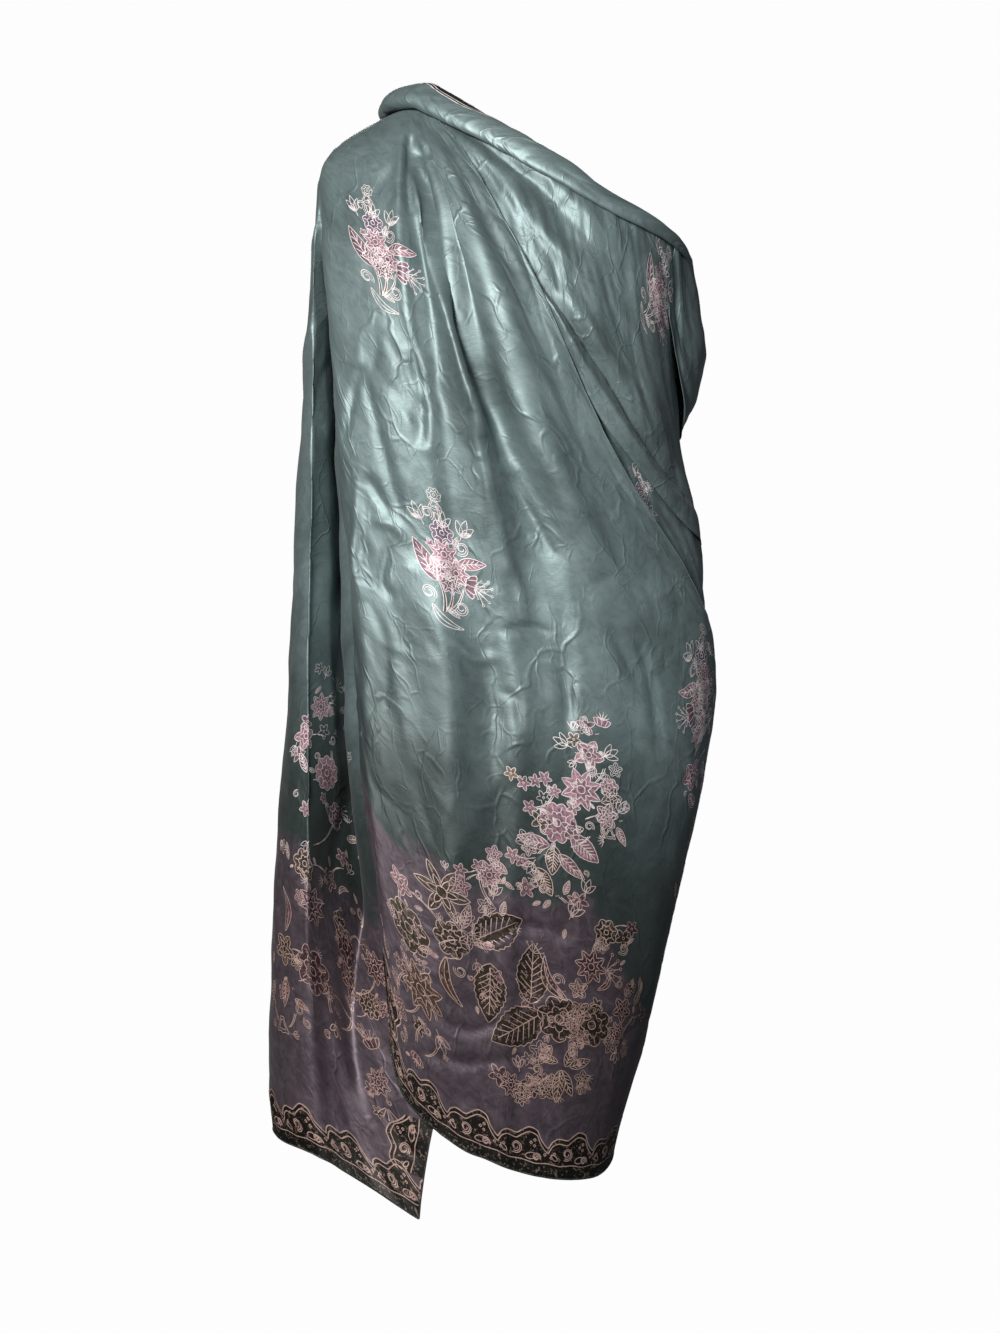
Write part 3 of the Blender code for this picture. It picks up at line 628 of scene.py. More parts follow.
def laid_on(cloth, points, lift):
    """Places of cut points (millimetres across and up) on a cloth, raised by a lift, the way
    out there, and whether each lies on it: Newton steps on the grid from the nearest of
    every fifth point."""
    places, outward, cut = cloth
    every = 5
    thin = cut[::every, ::every]
    near = np.concatenate([((part[:, None, :] - thin.reshape(1, -1, 2)) ** 2).sum(-1).argmin(1)
                           for part in np.array_split(points, len(points) // 2000 + 1)])
    across, down = near // thin.shape[1] * float(every), near % thin.shape[1] * float(every)
    for _ in range(8):
        miss = points - sample(cut, across, down)
        by_row = sample(cut, across + 0.5, down) - sample(cut, across - 0.5, down)
        by_column = sample(cut, across, down + 0.5) - sample(cut, across, down - 0.5)
        size = by_row[:, 0] * by_column[:, 1] - by_row[:, 1] * by_column[:, 0]
        size = np.where(np.abs(size) < 1e-6, 1e-6, size)
        across = across + (miss[:, 0] * by_column[:, 1] - miss[:, 1] * by_column[:, 0]) / size
        down = down + (by_row[:, 0] * miss[:, 1] - by_row[:, 1] * miss[:, 0]) / size
        across, down = np.clip(across, 0, cut.shape[0] - 1), np.clip(down, 0, cut.shape[1] - 1)
    off = np.linalg.norm(points - sample(cut, across, down), axis=1)
    ways = sample(outward, across, down)
    return sample(places, across, down) + ways * lift, ways, off < 0.5


def rim(size, petals, low, power):
    """Closed petal rim: size times low + (1 - low) times a tent of each petal to a power."""
    turn = np.linspace(0, 2 * np.pi, petals * 10 + 1)
    tip = (1 - np.abs(2 * ((turn * petals / (2 * np.pi)) % 1) - 1)) ** power
    far = size * (low + (1 - low) * tip)
    return np.stack([far * np.sin(turn), far * np.cos(turn)], axis=-1)


def flower(size, petals, low=0.6, power=1.1):
    """Open flower: a petal rim, a smaller rim, a round heart and a stroke in each petal."""
    outer, inner = rim(size, petals, low, power), rim(size * 0.56, petals, low * 0.9, power)
    heart = rim(size * 0.2, 4, 0.92, 1)
    turn = (np.arange(petals) + 0.5) * 2 * np.pi / petals
    way = np.stack([np.sin(turn), np.cos(turn)], axis=-1)
    veins = [way[k] * np.linspace(0.58, 0.84, 4)[:, None] * size for k in range(petals)]
    patch = outer[None] * np.linspace(0.03, 0.97, 6)[:, None, None]
    return [outer, inner, heart, *veins], [patch]


def leaf(size, breadth=0.24, teeth=0, bend=0.0, veins=5):
    """Leaf from its foot at the origin up to its tip: half the breadth is size times breadth
    times sin(pi t^0.8)^0.85, with a saw of teeth, a midrib and pairs of slanting veins."""
    t = np.linspace(0, 1, 41)
    half = size * breadth * np.sin(np.pi * t**0.8).clip(0) ** 0.85
    if teeth:
        half *= 1 + 0.16 * ((t * teeth) % 1 - 0.5)
    middle = np.stack([bend * size * np.sin(np.pi * t), size * t], axis=-1)
    side = np.stack([half, np.zeros_like(t)], axis=-1)
    lines = [np.concatenate([middle + side, (middle - side)[::-1]]), middle[3:36]]
    for k in range(veins):
        foot = 6 + k * 24 // max(veins, 1)
        for way in (-1, 1):
            end = middle[foot + 6] + way * side[foot + 6] * 0.72
            lines.append(middle[foot] + (end - middle[foot]) * np.linspace(0, 1, 4)[:, None])
    spread = np.linspace(-0.96, 0.96, 5)[:, None, None]
    return lines, [middle[None] + side[None] * spread]


def bud(size):
    """Opening bud: three slim pointed petals that share a foot."""
    lines = []
    for turn, share in ((-0.62, 0.9), (0.0, 1.0), (0.62, 0.9)):
        lines += turned(leaf(size * share, 0.2, veins=0)[0][:1], turn)
    return lines + [np.array([(0, 0), (0, -size * 0.35)])], []


def curl(size):
    """Tendril: two lines that wind in from the foot, 1.35 turns, closer to each other inside."""
    turn = np.linspace(0, 2.7 * np.pi, 34)
    far = size * 0.5 * (1 - turn / (3.6 * np.pi))
    line = np.stack([far * np.cos(turn - np.pi / 2), far * np.sin(turn - np.pi / 2) + size * 0.5], axis=-1)
    return [line, (line * 0.72 + (0, size * 0.13))[:24]], []


def stamens(size, count=5):
    """Fan of fine stalks, each with a small round head."""
    lines = []
    for turn in np.linspace(-0.95, 0.95, count):
        way = np.array([np.sin(turn), np.cos(turn)])
        lines += [way * np.linspace(0.15, 0.86, 5)[:, None] * size, way * size * 0.94 + rim(size * 0.085, 3, 0.95, 1)]
    return lines, []


def bloom(size):
    """Half-open flower seen from the side: a toothed cup on a calyx, with stamens above."""
    t = np.linspace(-1, 1, 37)
    tooth = 0.12 * np.abs(((t * 2.5) % 1) * 2 - 1)
    cup = np.stack([size * 0.62 * t, size * (0.62 + tooth - 0.12 * t**2)], axis=-1)
    bowl = np.stack([size * 0.62 * t, size * (0.12 + 0.5 * t**4 * 0.95)], axis=-1)
    rows = bowl[None] + (cup - bowl)[None] * np.linspace(0.03, 0.97, 5)[:, None, None]
    lines = [cup, bowl, *turned([line + (0, size * 0.5) for line in stamens(size * 0.62)[0]], 0)]
    lines += [np.array([(x * size, 0.2 * size), (x * 1.5 * size, 0.6 * size)]) for x in (-0.25, 0, 0.25)]
    return lines, [rows]


def star(size):
    """Small five-petalled flower with a dotted heart."""
    outer = rim(size, 5, 0.36, 0.8)
    return [outer, rim(size * 0.16, 3, 0.95, 1)], [outer[None] * np.linspace(0.03, 0.95, 4)[:, None, None]]


def bell(size):
    """Hanging bell flower."""
    line = np.array([(-0.2, 1), (-0.3, 0.62), (-0.52, 0.3), (-0.62, 0), (-0.3, 0.08), (0, -0.02),
                     (0.3, 0.08), (0.62, 0), (0.52, 0.3), (0.3, 0.62), (0.2, 1), (-0.2, 1)]) * size
    return [line, line * 0.62 + (0, 0.2 * size)], []


def stem(size):
    """Stalk from its foot up: two lines about a bowed middle that close in towards the tip."""
    t = np.linspace(0, 1, 16)
    middle = np.stack([0.09 * size * np.sin(np.pi * t), size * t], axis=-1)
    side = np.stack([1.3 * (1 - 0.6 * t), np.zeros_like(t)], axis=-1)
    return [middle + side, middle - side], [middle[None] + side[None] * np.linspace(-0.9, 0.9, 3)[:, None, None]]


def turned(lines, turn, place=(0, 0)):
    """Lines turned anticlockwise by an angle in radians, then moved to a place."""
    spin = np.array([(np.cos(turn), np.sin(turn)), (-np.sin(turn), np.cos(turn))])
    return [np.asarray(line) @ spin + np.asarray(place) for line in lines]


MOTIFS = {
    "pointed": lambda size: flower(size, 8), "rose": lambda size: flower(size, 10, 0.8, 0.5),
    "open": lambda size: flower(size, 5, 0.5, 0.7), "ruffle": lambda size: flower(size, 7, 0.74, 0.45),
    "leafy": lambda size: flower(size, 6, 0.3, 1.0), "leaf": lambda size: leaf(size, 0.2, veins=4),
    "saw leaf": lambda size: leaf(size, 0.27, 9, veins=6), "scroll": lambda size: leaf(size, 0.12, 0, 0.2, 0),
    "scroll back": lambda size: leaf(size, 0.12, 0, -0.2, 0), "bud": bud, "curl": curl, "stamens": stamens,
    "bloom": bloom, "star": star, "bell": bell, "stem": stem,
}
PATCH_DYES = {"pink": "#b790a0", "rose": "#8e7080", "olive": "#6b6252", "violet": "#85778f", "sand": "#9c8672",
              "none": None}
# motif, millimetres across and up from the foot of the spray, turn in degrees, size, dye
SPRAY = [
    ("stem", 0, 0, 9, 32, "olive"), ("stem", 2, 0, -12, 28, "sand"), ("stem", 3, 0, -32, 30, "none"),
    ("leaf", -5, 26, 31, 38, "rose"), ("curl", -6, 10, 62, 15, "none"), ("curl", 9, 4, -62, 15, "none"),
    ("scroll", -10, 4, -120, 31, "none"), ("leaf", 2, 4, -118, 13, "none"),
    ("pointed", 7, 27, 30, 11, "rose"), ("open", -3, 37, 0, 11, "pink"), ("pointed", 13, 38, 20, 13, "pink"),
    ("pointed", 3, 52, 8, 14, "pink"), ("ruffle", 3, 71, 0, 11, "violet"), ("bud", 4, 77, -6, 14, "violet"),
    ("stem", 2, 80, 9, 14, "sand"), ("bell", -1, 90, 4, 10, "sand"), ("ruffle", -1, 103, 0, 6.5, "none"),
    ("curl", -5, 80, 34, 13, "none"), ("bud", -15, 78, 26, 15, "none"), ("leaf", -14, 78, 84, 10, "none"),
    ("bud", 21, 73, -22, 16, "none"), ("leaf", 20, 73, -76, 11, "none"), ("curl", 15, 56, -42, 15, "none"),
    ("leaf", 15, 47, -82, 27, "pink"), ("bloom", 19, 31, -104, 18, "rose"), ("stamens", 31, 27, -106, 15, "none"),
    ("leaf", 13, 60, -20, 12, "none"), ("star", -9, 58, 0, 4.5, "pink"),
]
# motif, x and z where it shows from the front, turn in degrees, size, dye
FRONT_BAND = [
    ("bloom", 177, -570, -10, 13, "pink"), ("leaf", 168, -578, 38, 15, "violet"),
    ("open", 165, -593, 10, 14, "pink"), ("bud", 147, -586, 70, 14, "none"),
    ("bud", 181, -596, -60, 14, "none"), ("pointed", 160, -626, 0, 19, "pink"),
    ("curl", 168, -612, -40, 11, "none"), ("ruffle", 185, -624, 0, 9, "pink"),
    ("star", 96, -610, 0, 7, "sand"), ("star", 109, -619, 20, 7, "pink"),
    ("star", 118, -615, 40, 6.5, "pink"), ("star", 128, -616, 10, 7, "pink"),
    ("star", 126, -630, 0, 7, "none"), ("star", 136, -627, 30, 6.5, "pink"),
    ("star", 113, -640, 15, 7.5, "pink"), ("rose", 141, -653, 0, 18, "pink"),
    ("saw leaf", 152, -667, -128, 32, "pink"), ("open", 185, -648, 20, 11, "rose"),
    ("bud", 193, -645, -35, 13, "none"), ("leaf", 191, -657, -150, 18, "pink"),
    ("bell", 185, -670, 0, 9, "none"), ("curl", 170, -659, 60, 10, "none"),
    ("leaf", 133, -675, 86, 30, "pink"), ("star", 98, -682, 0, 8, "pink"),
    ("star", 107, -686, 25, 7.5, "pink"), ("bud", 116, -690, 150, 12, "none"),
    ("saw leaf", 138, -675, 175, 26, "olive"), ("leafy", 36, -713, 0, 26, "olive"),
    ("open", 52, -709, 30, 10, "pink"), ("pointed", 80, -700, 0, 13, "pink"),
    ("bud", 81, -717, -10, 13, "none"), ("leaf", 93, -699, 60, 20, "pink"),
    ("saw leaf", 121, -695, -150, 26, "olive"), ("leaf", 142, -683, -130, 28, "pink"),
    ("bud", 163, -717, -20, 13, "none"), ("leaf", 144, -719, -20, 14, "pink"),
    ("curl", 130, -717, 70, 11, "none"), ("bud", 153, -737, -30, 15, "rose"),
    ("ruffle", 7, -746, 0, 22, "olive"), ("open", -1, -706, 0, 12, "pink"),
    ("ruffle", 47, -757, 20, 17, "olive"), ("leaf", 56, -746, -18, 24, "pink"),
    ("saw leaf", 65, -757, -57, 56, "olive"), ("leaf", 28, -766, 120, 16, "pink"),
    ("leaf", 66, -759, -95, 20, "pink"), ("saw leaf", 80, -779, 178, 54, "olive"),
    ("saw leaf", 116, -816, -4, 54, "olive"), ("saw leaf", 125, -824, 128, 60, "olive"),
    ("scroll", 41, -772, -160, 44, "sand"), ("curl", 48, -780, -110, 13, "none"),
    ("scroll back", 147, -813, 28, 42, "rose"), ("curl", 144, -799, 60, 13, "none"),
    ("pointed", 19, -802, 0, 24, "sand"), ("open", -1, -817, 0, 12, "pink"),
    ("leaf", 11, -786, 40, 18, "pink"), ("bud", 35, -842, -150, 15, "none"),
    ("bloom", 15, -857, 175, 13, "pink"), ("curl", 24, -832, 200, 11, "none"),
    ("pointed", 169, -782, 10, 16, "rose"), ("ruffle", 183, -754, 0, 12, "olive"),
    ("star", 205, -752, 0, 8, "rose"), ("curl", 193, -770, -60, 13, "none"),
    ("stamens", 183, -788, -80, 18, "none"), ("scroll", 176, -804, -35, 22, "rose"),
    ("ruffle", 142, -830, 0, 21, "olive"), ("ruffle", 172, -837, 15, 20, "olive"),
    ("open", 158, -823, 0, 12, "sand"), ("leaf", 135, -853, 150, 22, "sand"),
    ("leaf", 152, -848, -160, 20, "rose"), ("leaf", 147, -871, -20, 22, "olive"),
    ("leaf", 149, -873, -68, 22, "olive"), ("leaf", 144, -877, -150, 26, "olive"),
    ("leaf", 142, -875, 175, 30, "sand"), ("leaf", 138, -868, 80, 18, "olive"),
    ("pointed", 98, -886, 0, 12, "rose"), ("star", 119, -893, 0, 8, "rose"),
    ("star", 107, -900, 20, 7, "rose"), ("star", 128, -884, 20, 7, "pink"),
    ("bud", 104, -873, 10, 11, "none"), ("curl", 123, -878, 30, 11, "none"),
    ("open", 197, -823, 0, 12, "rose"), ("leaf", 209, -821, -25, 17, "olive"),
    ("pointed", 194, -846, 0, 11, "rose"), ("bud", 193, -864, 180, 11, "none"),
    ("curl", 206, -839, -40, 10, "none"), ("star", 217, -832, 0, 7, "rose"),
    ("leaf", 217, -813, 10, 15, "none"), ("leaf", 88, -737, -15, 14, "none"),
    ("star", 67, -692, 0, 7, "pink"), ("star", 55, -695, 30, 7, "pink"),
    ("leaf", -11, -768, 10, 18, "rose"), ("leaf", -8, -790, 60, 16, "sand"),
]
SIDE_BAND = [
    ("bud", -70, -524, 5, 12, "none"), ("stamens", -63, -537, -30, 12, "none"),
    ("pointed", -76, -553, 0, 15, "pink"), ("leaf", -60, -556, -50, 17, "pink"),
    ("open", -88, -577, 0, 14, "pink"), ("curl", -67, -583, -50, 12, "none"),
    ("rose", -70, -612, 0, 17, "pink"), ("leaf", -87, -612, 35, 20, "rose"),
    ("star", -88, -643, 0, 8, "pink"), ("star", -50, -599, 0, 6, "none"),
    ("ruffle", -63, -654, 0, 13, "rose"), ("bud", -84, -675, 150, 12, "none"),
    ("leaf", -52, -675, -60, 17, "olive"), ("star", -74, -635, 10, 6, "pink"),
    ("ruffle", -87, -694, 0, 14, "olive"), ("open", -67, -709, 0, 11, "rose"),
    ("bud", -52, -705, -30, 11, "none"), ("leaf", -102, -690, 20, 16, "sand"),
    ("pointed", -82, -731, 0, 18, "rose"), ("stamens", -65, -741, -110, 18, "none"),
    ("scroll", -107, -755, 5, 40, "pink"), ("scroll back", -60, -725, -60, 16, "rose"),
    ("open", -107, -771, 0, 15, "sand"), ("ruffle", -81, -791, 0, 21, "rose"),
    ("leaf", -105, -799, 170, 26, "sand"), ("leaf", -97, -817, -110, 16, "sand"),
    ("bell", -107, -848, 0, 14, "sand"), ("leaf", -118, -804, 160, 20, "none"),
    ("ruffle", -52, -772, 0, 15, "rose"), ("star", -35, -772, 0, 8, "rose"),
    ("pointed", -26, -789, 0, 18, "rose"), ("open", -50, -806, 0, 13, "rose"),
    ("rose", -31, -823, 0, 14, "olive"), ("bud", -48, -829, 0, 9, "none"),
    ("bud", -61, -841, 170, 11, "rose"), ("star", -66, -809, 0, 7, "rose"),
    ("bloom", -24, -864, 15, 17, "rose"), ("pointed", -22, -891, 0, 13, "rose"),
    ("stamens", -14, -912, 170, 12, "none"), ("curl", -41, -755, 20, 11, "none"),
]


def cut_of(cloth, x, z, side):
    """Cut point (millimetres) that shows at x and z from the front (side -1) or back (1)."""
    places, outward, cut = cloth
    gap = np.hypot(places[..., 0] - x, places[..., 2] - z) + 1000 * (outward[..., 1] * side < 0.05)
    return cut.reshape(-1, 2)[gap.argmin()]


def draw(drawing, motif, place, turn, size, dye):
    """Adds a motif's lines and patches, turned and moved, to a drawing."""
    lines, patches = MOTIFS[motif](size)
    width = FINE_LINE if size < SMALL_MOTIF else BROAD_LINE
    drawing["lines"] += [(line, width) for line in turned(lines, np.radians(turn), place)]
    if PATCH_DYES[dye]:
        drawing["patches"] += [(patch, PATCH_DYES[dye]) for patch in turned(patches, np.radians(turn), place)]


def draw_spray(drawing, place, turn, mirrored=False):
    """Adds a whole spray with its foot at a place."""
    flip = -1 if mirrored else 1
    feet = turned([np.array([(row[1] * flip, row[2]) for row in SPRAY])], np.radians(turn), place)[0]
    for (motif, _, _, way, size, dye), foot in zip(SPRAY, feet):
        draw(drawing, motif, foot, turn + way * flip, size, dye)


def draw_band(drawing, rows, seed):
    """Adds the motifs of a band, given by their place on the cut, with bowed stalks between
    neighbours in the table and small curls, buds and leaves round the larger ones."""
    rng = np.random.default_rng(seed)
    for number, (motif, place, turn, size, dye) in enumerate(rows):
        before = rows[number - 1]
        way = place - before[1]
        run = np.hypot(*way)
        if number and 12 < run < 62:
            t = np.linspace(min(0.5, 0.75 * before[3] / run), max(0.6, 1 - 0.75 * size / run), 12)[:, None]
            bowed = before[1] + way * t + np.array([-way[1], way[0]]) * 0.16 * np.sin(np.pi * t)
            drawing["lines"] += [(bowed, 0.7), (bowed + (1.9, 0.5), 0.6)]
        for _ in range(2 if size > 10 else 0):
            round_it = rng.uniform(0, 360)
            out = np.array([-np.sin(np.radians(round_it)), np.cos(np.radians(round_it))])
            small = rng.choice(["curl", "bud", "leaf", "star", "open", "leaf", "stamens"])
            draw(drawing, small, place + out * (size * 0.75 + 4), round_it + rng.uniform(-40, 40), rng.uniform(6, 11),
                 rng.choice(["none", "pink", "rose", "olive", dye]))
        draw(drawing, motif, place, turn, size, dye)


def print_mesh(name, places, ways, faces, points, material, dyes=None):
    """Mesh of ribbons or patches, faces turned to the way out, with a dye for each point."""
    corners = places[faces]
    normals = np.cross(corners[:, 2] - corners[:, 0], corners[:, 3] - corners[:, 1])
    faces = np.where(((normals * ways[faces[:, 0]]).sum(-1) < 0)[:, None], faces[:, ::-1], faces)
    piece = smooth_mesh(name, places, faces, points * 0.001, material)
    if dyes is not None:
        piece.data.color_attributes.new("dye", "FLOAT_COLOR", "POINT").data.foreach_set("color", dyes.ravel())
    return piece


def print_pieces(name, cloth, drawing):
    """The lines of a drawing as ribbons and its patches as grids, laid on a cloth. Lines are
    first shared out in steps of about RIBBON_STEP; what falls off the cloth is left out. A
    patch is deeper in its first rows, the middle of a flower."""
    points, faces, start = [], [], 0
    for line, width in drawing["lines"]:
        run = np.concatenate([[0], np.linalg.norm(np.diff(line, axis=0), axis=1).cumsum()])
        count = max(int(run[-1] / RIBBON_STEP), 1) + 1
        line = np.stack([np.interp(np.linspace(0, run[-1], count), run, line[:, k]) for k in (0, 1)], axis=-1)
        way = np.gradient(line, axis=0)
        way /= np.linalg.norm(way, axis=1, keepdims=True) + 1e-9
        aside = np.stack([-way[:, 1], way[:, 0]], axis=-1) * width / 2
        points.append(np.stack([line + aside, line - aside], axis=1).reshape(-1, 2))
        index = start + np.arange(count - 1) * 2
        faces.append(np.stack([index, index + 1, index + 3, index + 2], axis=-1))
        start += 2 * count
    points, faces = np.concatenate(points), np.concatenate(faces)
    places, ways, lies = laid_on(cloth, points, LINE_LIFT)
    pieces = [print_mesh(name + "_lines", places, ways, faces[lies[faces].all(axis=1)], points, line_dye)]
    points, faces, dyes, start = [], [], [], 0
    for patch, dye in drawing["patches"]:
        rows, columns = patch.shape[:2]
        index = start + np.arange(rows * columns).reshape(rows, columns)
        points.append(patch.reshape(-1, 2))
        faces.append(np.stack([index[:-1, :-1], index[1:, :-1], index[1:, 1:], index[:-1, 1:]], axis=-1).reshape(-1, 4))
        tone = np.repeat(np.linspace(0.6, 1.1, rows), columns)[:, None]
        dyes.append(np.concatenate([np.array(linear(dye)[:3]) * tone, np.ones((rows * columns, 1))], axis=1))
        start += rows * columns
    points, faces, dyes = np.concatenate(points), np.concatenate(faces), np.concatenate(dyes)
    places, ways, lies = laid_on(cloth, points, PATCH_LIFT)
    pieces.append(print_mesh(name + "_patches", places, ways, faces[lies[faces].all(axis=1)], points, patch_dye, dyes))
    return pieces


# printed line: pale and a little raised by the paste, browner towards the hem
line_dye, tree, shader = new_material("pale_print_paste")
spot_at = add(tree, "ShaderNodeTexCoord").outputs["Object"]
height = add(tree, "ShaderNodeSeparateXYZ", links={"Vector": spot_at}).outputs["Z"]
high = add(tree, "ShaderNodeMapRange", inputs={"From Min": -0.80, "From Max": -0.62}, links={"Value": height})
wear = add(tree, "ShaderNodeTexNoise", inputs={"Scale": 160, "Detail": 2}, links={"Vector": spot_at})
tone = add(tree, "ShaderNodeValToRGB", links={"Fac": high.outputs[0]},
           stops=[(0, "#b89c94"), (0.5, "#cbb6b2"), (1, "#ebe5e6")]).outputs["Color"]
worn = add(tree, "ShaderNodeValToRGB", links={"Fac": wear.outputs["Fac"]},
           stops=[(0.3, "#b4acac"), (0.55, "#ffffff")]).outputs["Color"]
tone = add(tree, "ShaderNodeMix", {"data_type": "RGBA", "blend_type": "MULTIPLY"}, {FACTOR: 0.7},
           {FIRST: tone, SECOND: worn}).outputs[MIXED]
tree.links.new(tone, shader.inputs["Base Color"])
shader.inputs["Roughness"].default_value = 0.5
shader.inputs["Metallic"].default_value = 0.1

# printed patch: watery dye in the satin, with the same soft gloss as the ground; towards the
# hem it is darker, with pale blotches where the wax resist cracked
patch_dye, tree, shader = new_material("watery_print_dye")
tint = add(tree, "ShaderNodeVertexColor", {"layer_name": "dye"}).outputs["Color"]
cut = add(tree, "ShaderNodeUVMap", {"uv_map": "cut"}).outputs["UV"]
spot = add(tree, "ShaderNodeTexCoord").outputs["Object"]
height = add(tree, "ShaderNodeSeparateXYZ", links={"Vector": spot}).outputs["Z"]
low = add(tree, "ShaderNodeMapRange", inputs={"From Min": -0.62, "From Max": -0.76}, links={"Value": height}).outputs[0]
water = add(tree, "ShaderNodeTexNoise", inputs={"Scale": 230, "Detail": 3, "Distortion": 1.5},
            links={"Vector": cut}).outputs["Fac"]
shade = add(tree, "ShaderNodeValToRGB", links={"Fac": water},
            stops=[(0.34, "#8f8a8a"), (0.5, "#d9d5d3"), (0.62, "#ffffff")]).outputs["Color"]
tint = add(tree, "ShaderNodeMix", {"data_type": "RGBA", "blend_type": "MULTIPLY"}, {FACTOR: 0.8},
           {FIRST: tint, SECOND: shade}).outputs[MIXED]
tint = add(tree, "ShaderNodeMix", {"data_type": "RGBA", "blend_type": "MULTIPLY"}, {SECOND: linear("#94888a")},
           {FACTOR: low, FIRST: tint}).outputs[MIXED]
blotch = add(tree, "ShaderNodeMapRange", inputs={"From Min": 0.57, "From Max": 0.66, "To Max": 0.5},
             links={"Value": water})
blotch = add(tree, "ShaderNodeMath", {"operation": "MULTIPLY"}, links={0: blotch.outputs[0], 1: low})
tint = add(tree, "ShaderNodeMix", {"data_type": "RGBA"}, {SECOND: linear("#ac9888")},
           {FACTOR: blotch.outputs[0], FIRST: tint}).outputs[MIXED]
tree.links.new(tint, shader.inputs["Base Color"])
shader.inputs["Roughness"].default_value = 0.5
shader.inputs["Metallic"].default_value = 0.3

# border along a hem: a double wavy line, windings, drops and dots over a dark strip
BORDER_REPEAT = 50
BORDER_WAVE = np.array([(0, 26), (4, 33), (10, 36), (18, 35), (24, 39), (31, 43), (38, 41),
                        (42, 34), (47, 28), (50, 26)], float)
BORDER_STRIP = 10.5     # height of the plain dark strip along the edge


def draw_border(drawing, repeats, lay):
    """Adds the border: in each repeat the wave twice, 4.5 mm apart, a winding, two drops,
    dots and a looped line over a brown ground with a plain dark strip at the edge. It is
    drawn along and up from an edge, and lay takes it from there to the cut."""
    wave = curve(np.arange(10), BORDER_WAVE, np.linspace(0, 9, 46))
    for foot in np.arange(repeats)[:, None] * (BORDER_REPEAT, 0):
        drawing["lines"] += [(lay(wave + foot), 1.1), (lay(wave - (0, 4.5) + foot), 0.95)]
        shapes = turned(curl(13)[0], -0.5, (16, 17)) + turned(curl(9)[0], 1.2, (43, 15))
        shapes += turned(leaf(13, 0.22, veins=0)[0][:1], -1.35, (28, 16))
        shapes += turned(leaf(8, 0.25, veins=0)[0][:1], 0.9, (9, 16))
        dots = ((33, 29), (36.5, 32), (36.5, 26.5), (6, 22), (3, 18), (47, 20))
        shapes += [rim(1.3, 3, 0.95, 1) + dot for dot in dots]
        shapes += [np.array([(0, 12.5), (12, 11), (25, 12.5), (38, 11), (50, 12.5)])]
        drawing["lines"] += [(lay(shape + foot), 0.85) for shape in shapes]
        flat = np.zeros(len(wave))
        for lower, upper, dye in ((flat, flat + BORDER_STRIP, "#29302c"), (flat + BORDER_STRIP, wave[:, 1], "#3a362f")):
            levels = lower + (upper - lower) * np.linspace(0, 1, 9)[:, None]
            strip = np.stack([np.broadcast_to(wave[:, 0], levels.shape), levels], axis=-1)
            drawing["patches"].append((lay(strip + foot), dye))


def rolled_hem(name, cloth, edge, radius, material):
    """Rolled hem along an edge of a cloth: a ring of points round each place, its half size
    the radius, square to the path."""
    path, ways, cut = (part[edge] for part in cloth)
    ring = 9
    along = np.gradient(path, axis=0)
    along /= np.linalg.norm(along, axis=1, keepdims=True)
    side = np.cross(along, ways)
    turn = np.linspace(0, 2 * np.pi, ring)[None, :, None]
    rings = (path - ways * WALL / 2)[:, None] + (ways[:, None] * np.cos(turn) + side[:, None] * np.sin(turn)) * radius
    flip = int(np.sign(((rings - path[:, None]) * outward_of(rings)).sum(-1).mean()))
    coordinates = [np.repeat(cut[:, :1] * 0.001, ring, axis=1), cut[:, 1:] * 0.001 + np.linspace(0, 0.005, ring)]
    piece = grid_mesh(name, rings[::flip], [values[::flip] for values in coordinates], material)
    return piece


# hem: the border's dark edge rolled to the back and stitched by hand, a stitch every 3 mm
hem_silk, tree, shader = new_material("rolled_hem_silk")
cut = add(tree, "ShaderNodeUVMap", {"uv_map": "cut"}).outputs["UV"]
grime = add(tree, "ShaderNodeTexNoise", inputs={"Scale": 300, "Detail": 3}, links={"Vector": cut}).outputs["Fac"]
tree.links.new(add(tree, "ShaderNodeValToRGB", links={"Fac": grime},
                   stops=[(0.35, "#1f2522"), (0.5, "#2d3430"), (0.65, "#45504a")]).outputs["Color"],
               shader.inputs["Base Color"])
stitches = add(tree, "ShaderNodeTexWave", {"bands_direction": "X"}, {"Scale": 105}, {"Vector": cut})
raised = add(tree, "ShaderNodeBump", {}, {"Strength": 0.5, "Distance": 0.0006}, {"Height": stitches.outputs["Fac"]})
tree.links.new(raised.outputs[0], shader.inputs["Normal"])
shader.inputs["Roughness"].default_value = 0.55
shader.inputs["Metallic"].default_value = 0.2

HEM, SELVEDGE = 0.9, 0.8         # half the thickness of the rolled hem and of a selvedge
LOWER_EDGE = np.s_[:, -1]
NEAR_EDGE, FAR_EDGE = np.s_[0, 6:], np.s_[-1, 6:]    # both start six points below the gather
front_cloth = (front_places, front_outward, np.stack(front_cut, axis=-1) * 1000)
back_cloth = (back_places, back_outward, np.stack(back_cut, axis=-1) * 1000)
sweep_cloth = (sweep_places, sweep_outward, np.stack(sweep_cut, axis=-1) * 1000)
front_band = [(motif, cut_of(front_cloth, x, z, -1), turn, size, dye) for motif, x, z, turn, size, dye in FRONT_BAND]
side_band = [(motif, cut_of(back_cloth, x, z, -1), turn, size, dye) for motif, x, z, turn, size, dye in SIDE_BAND]

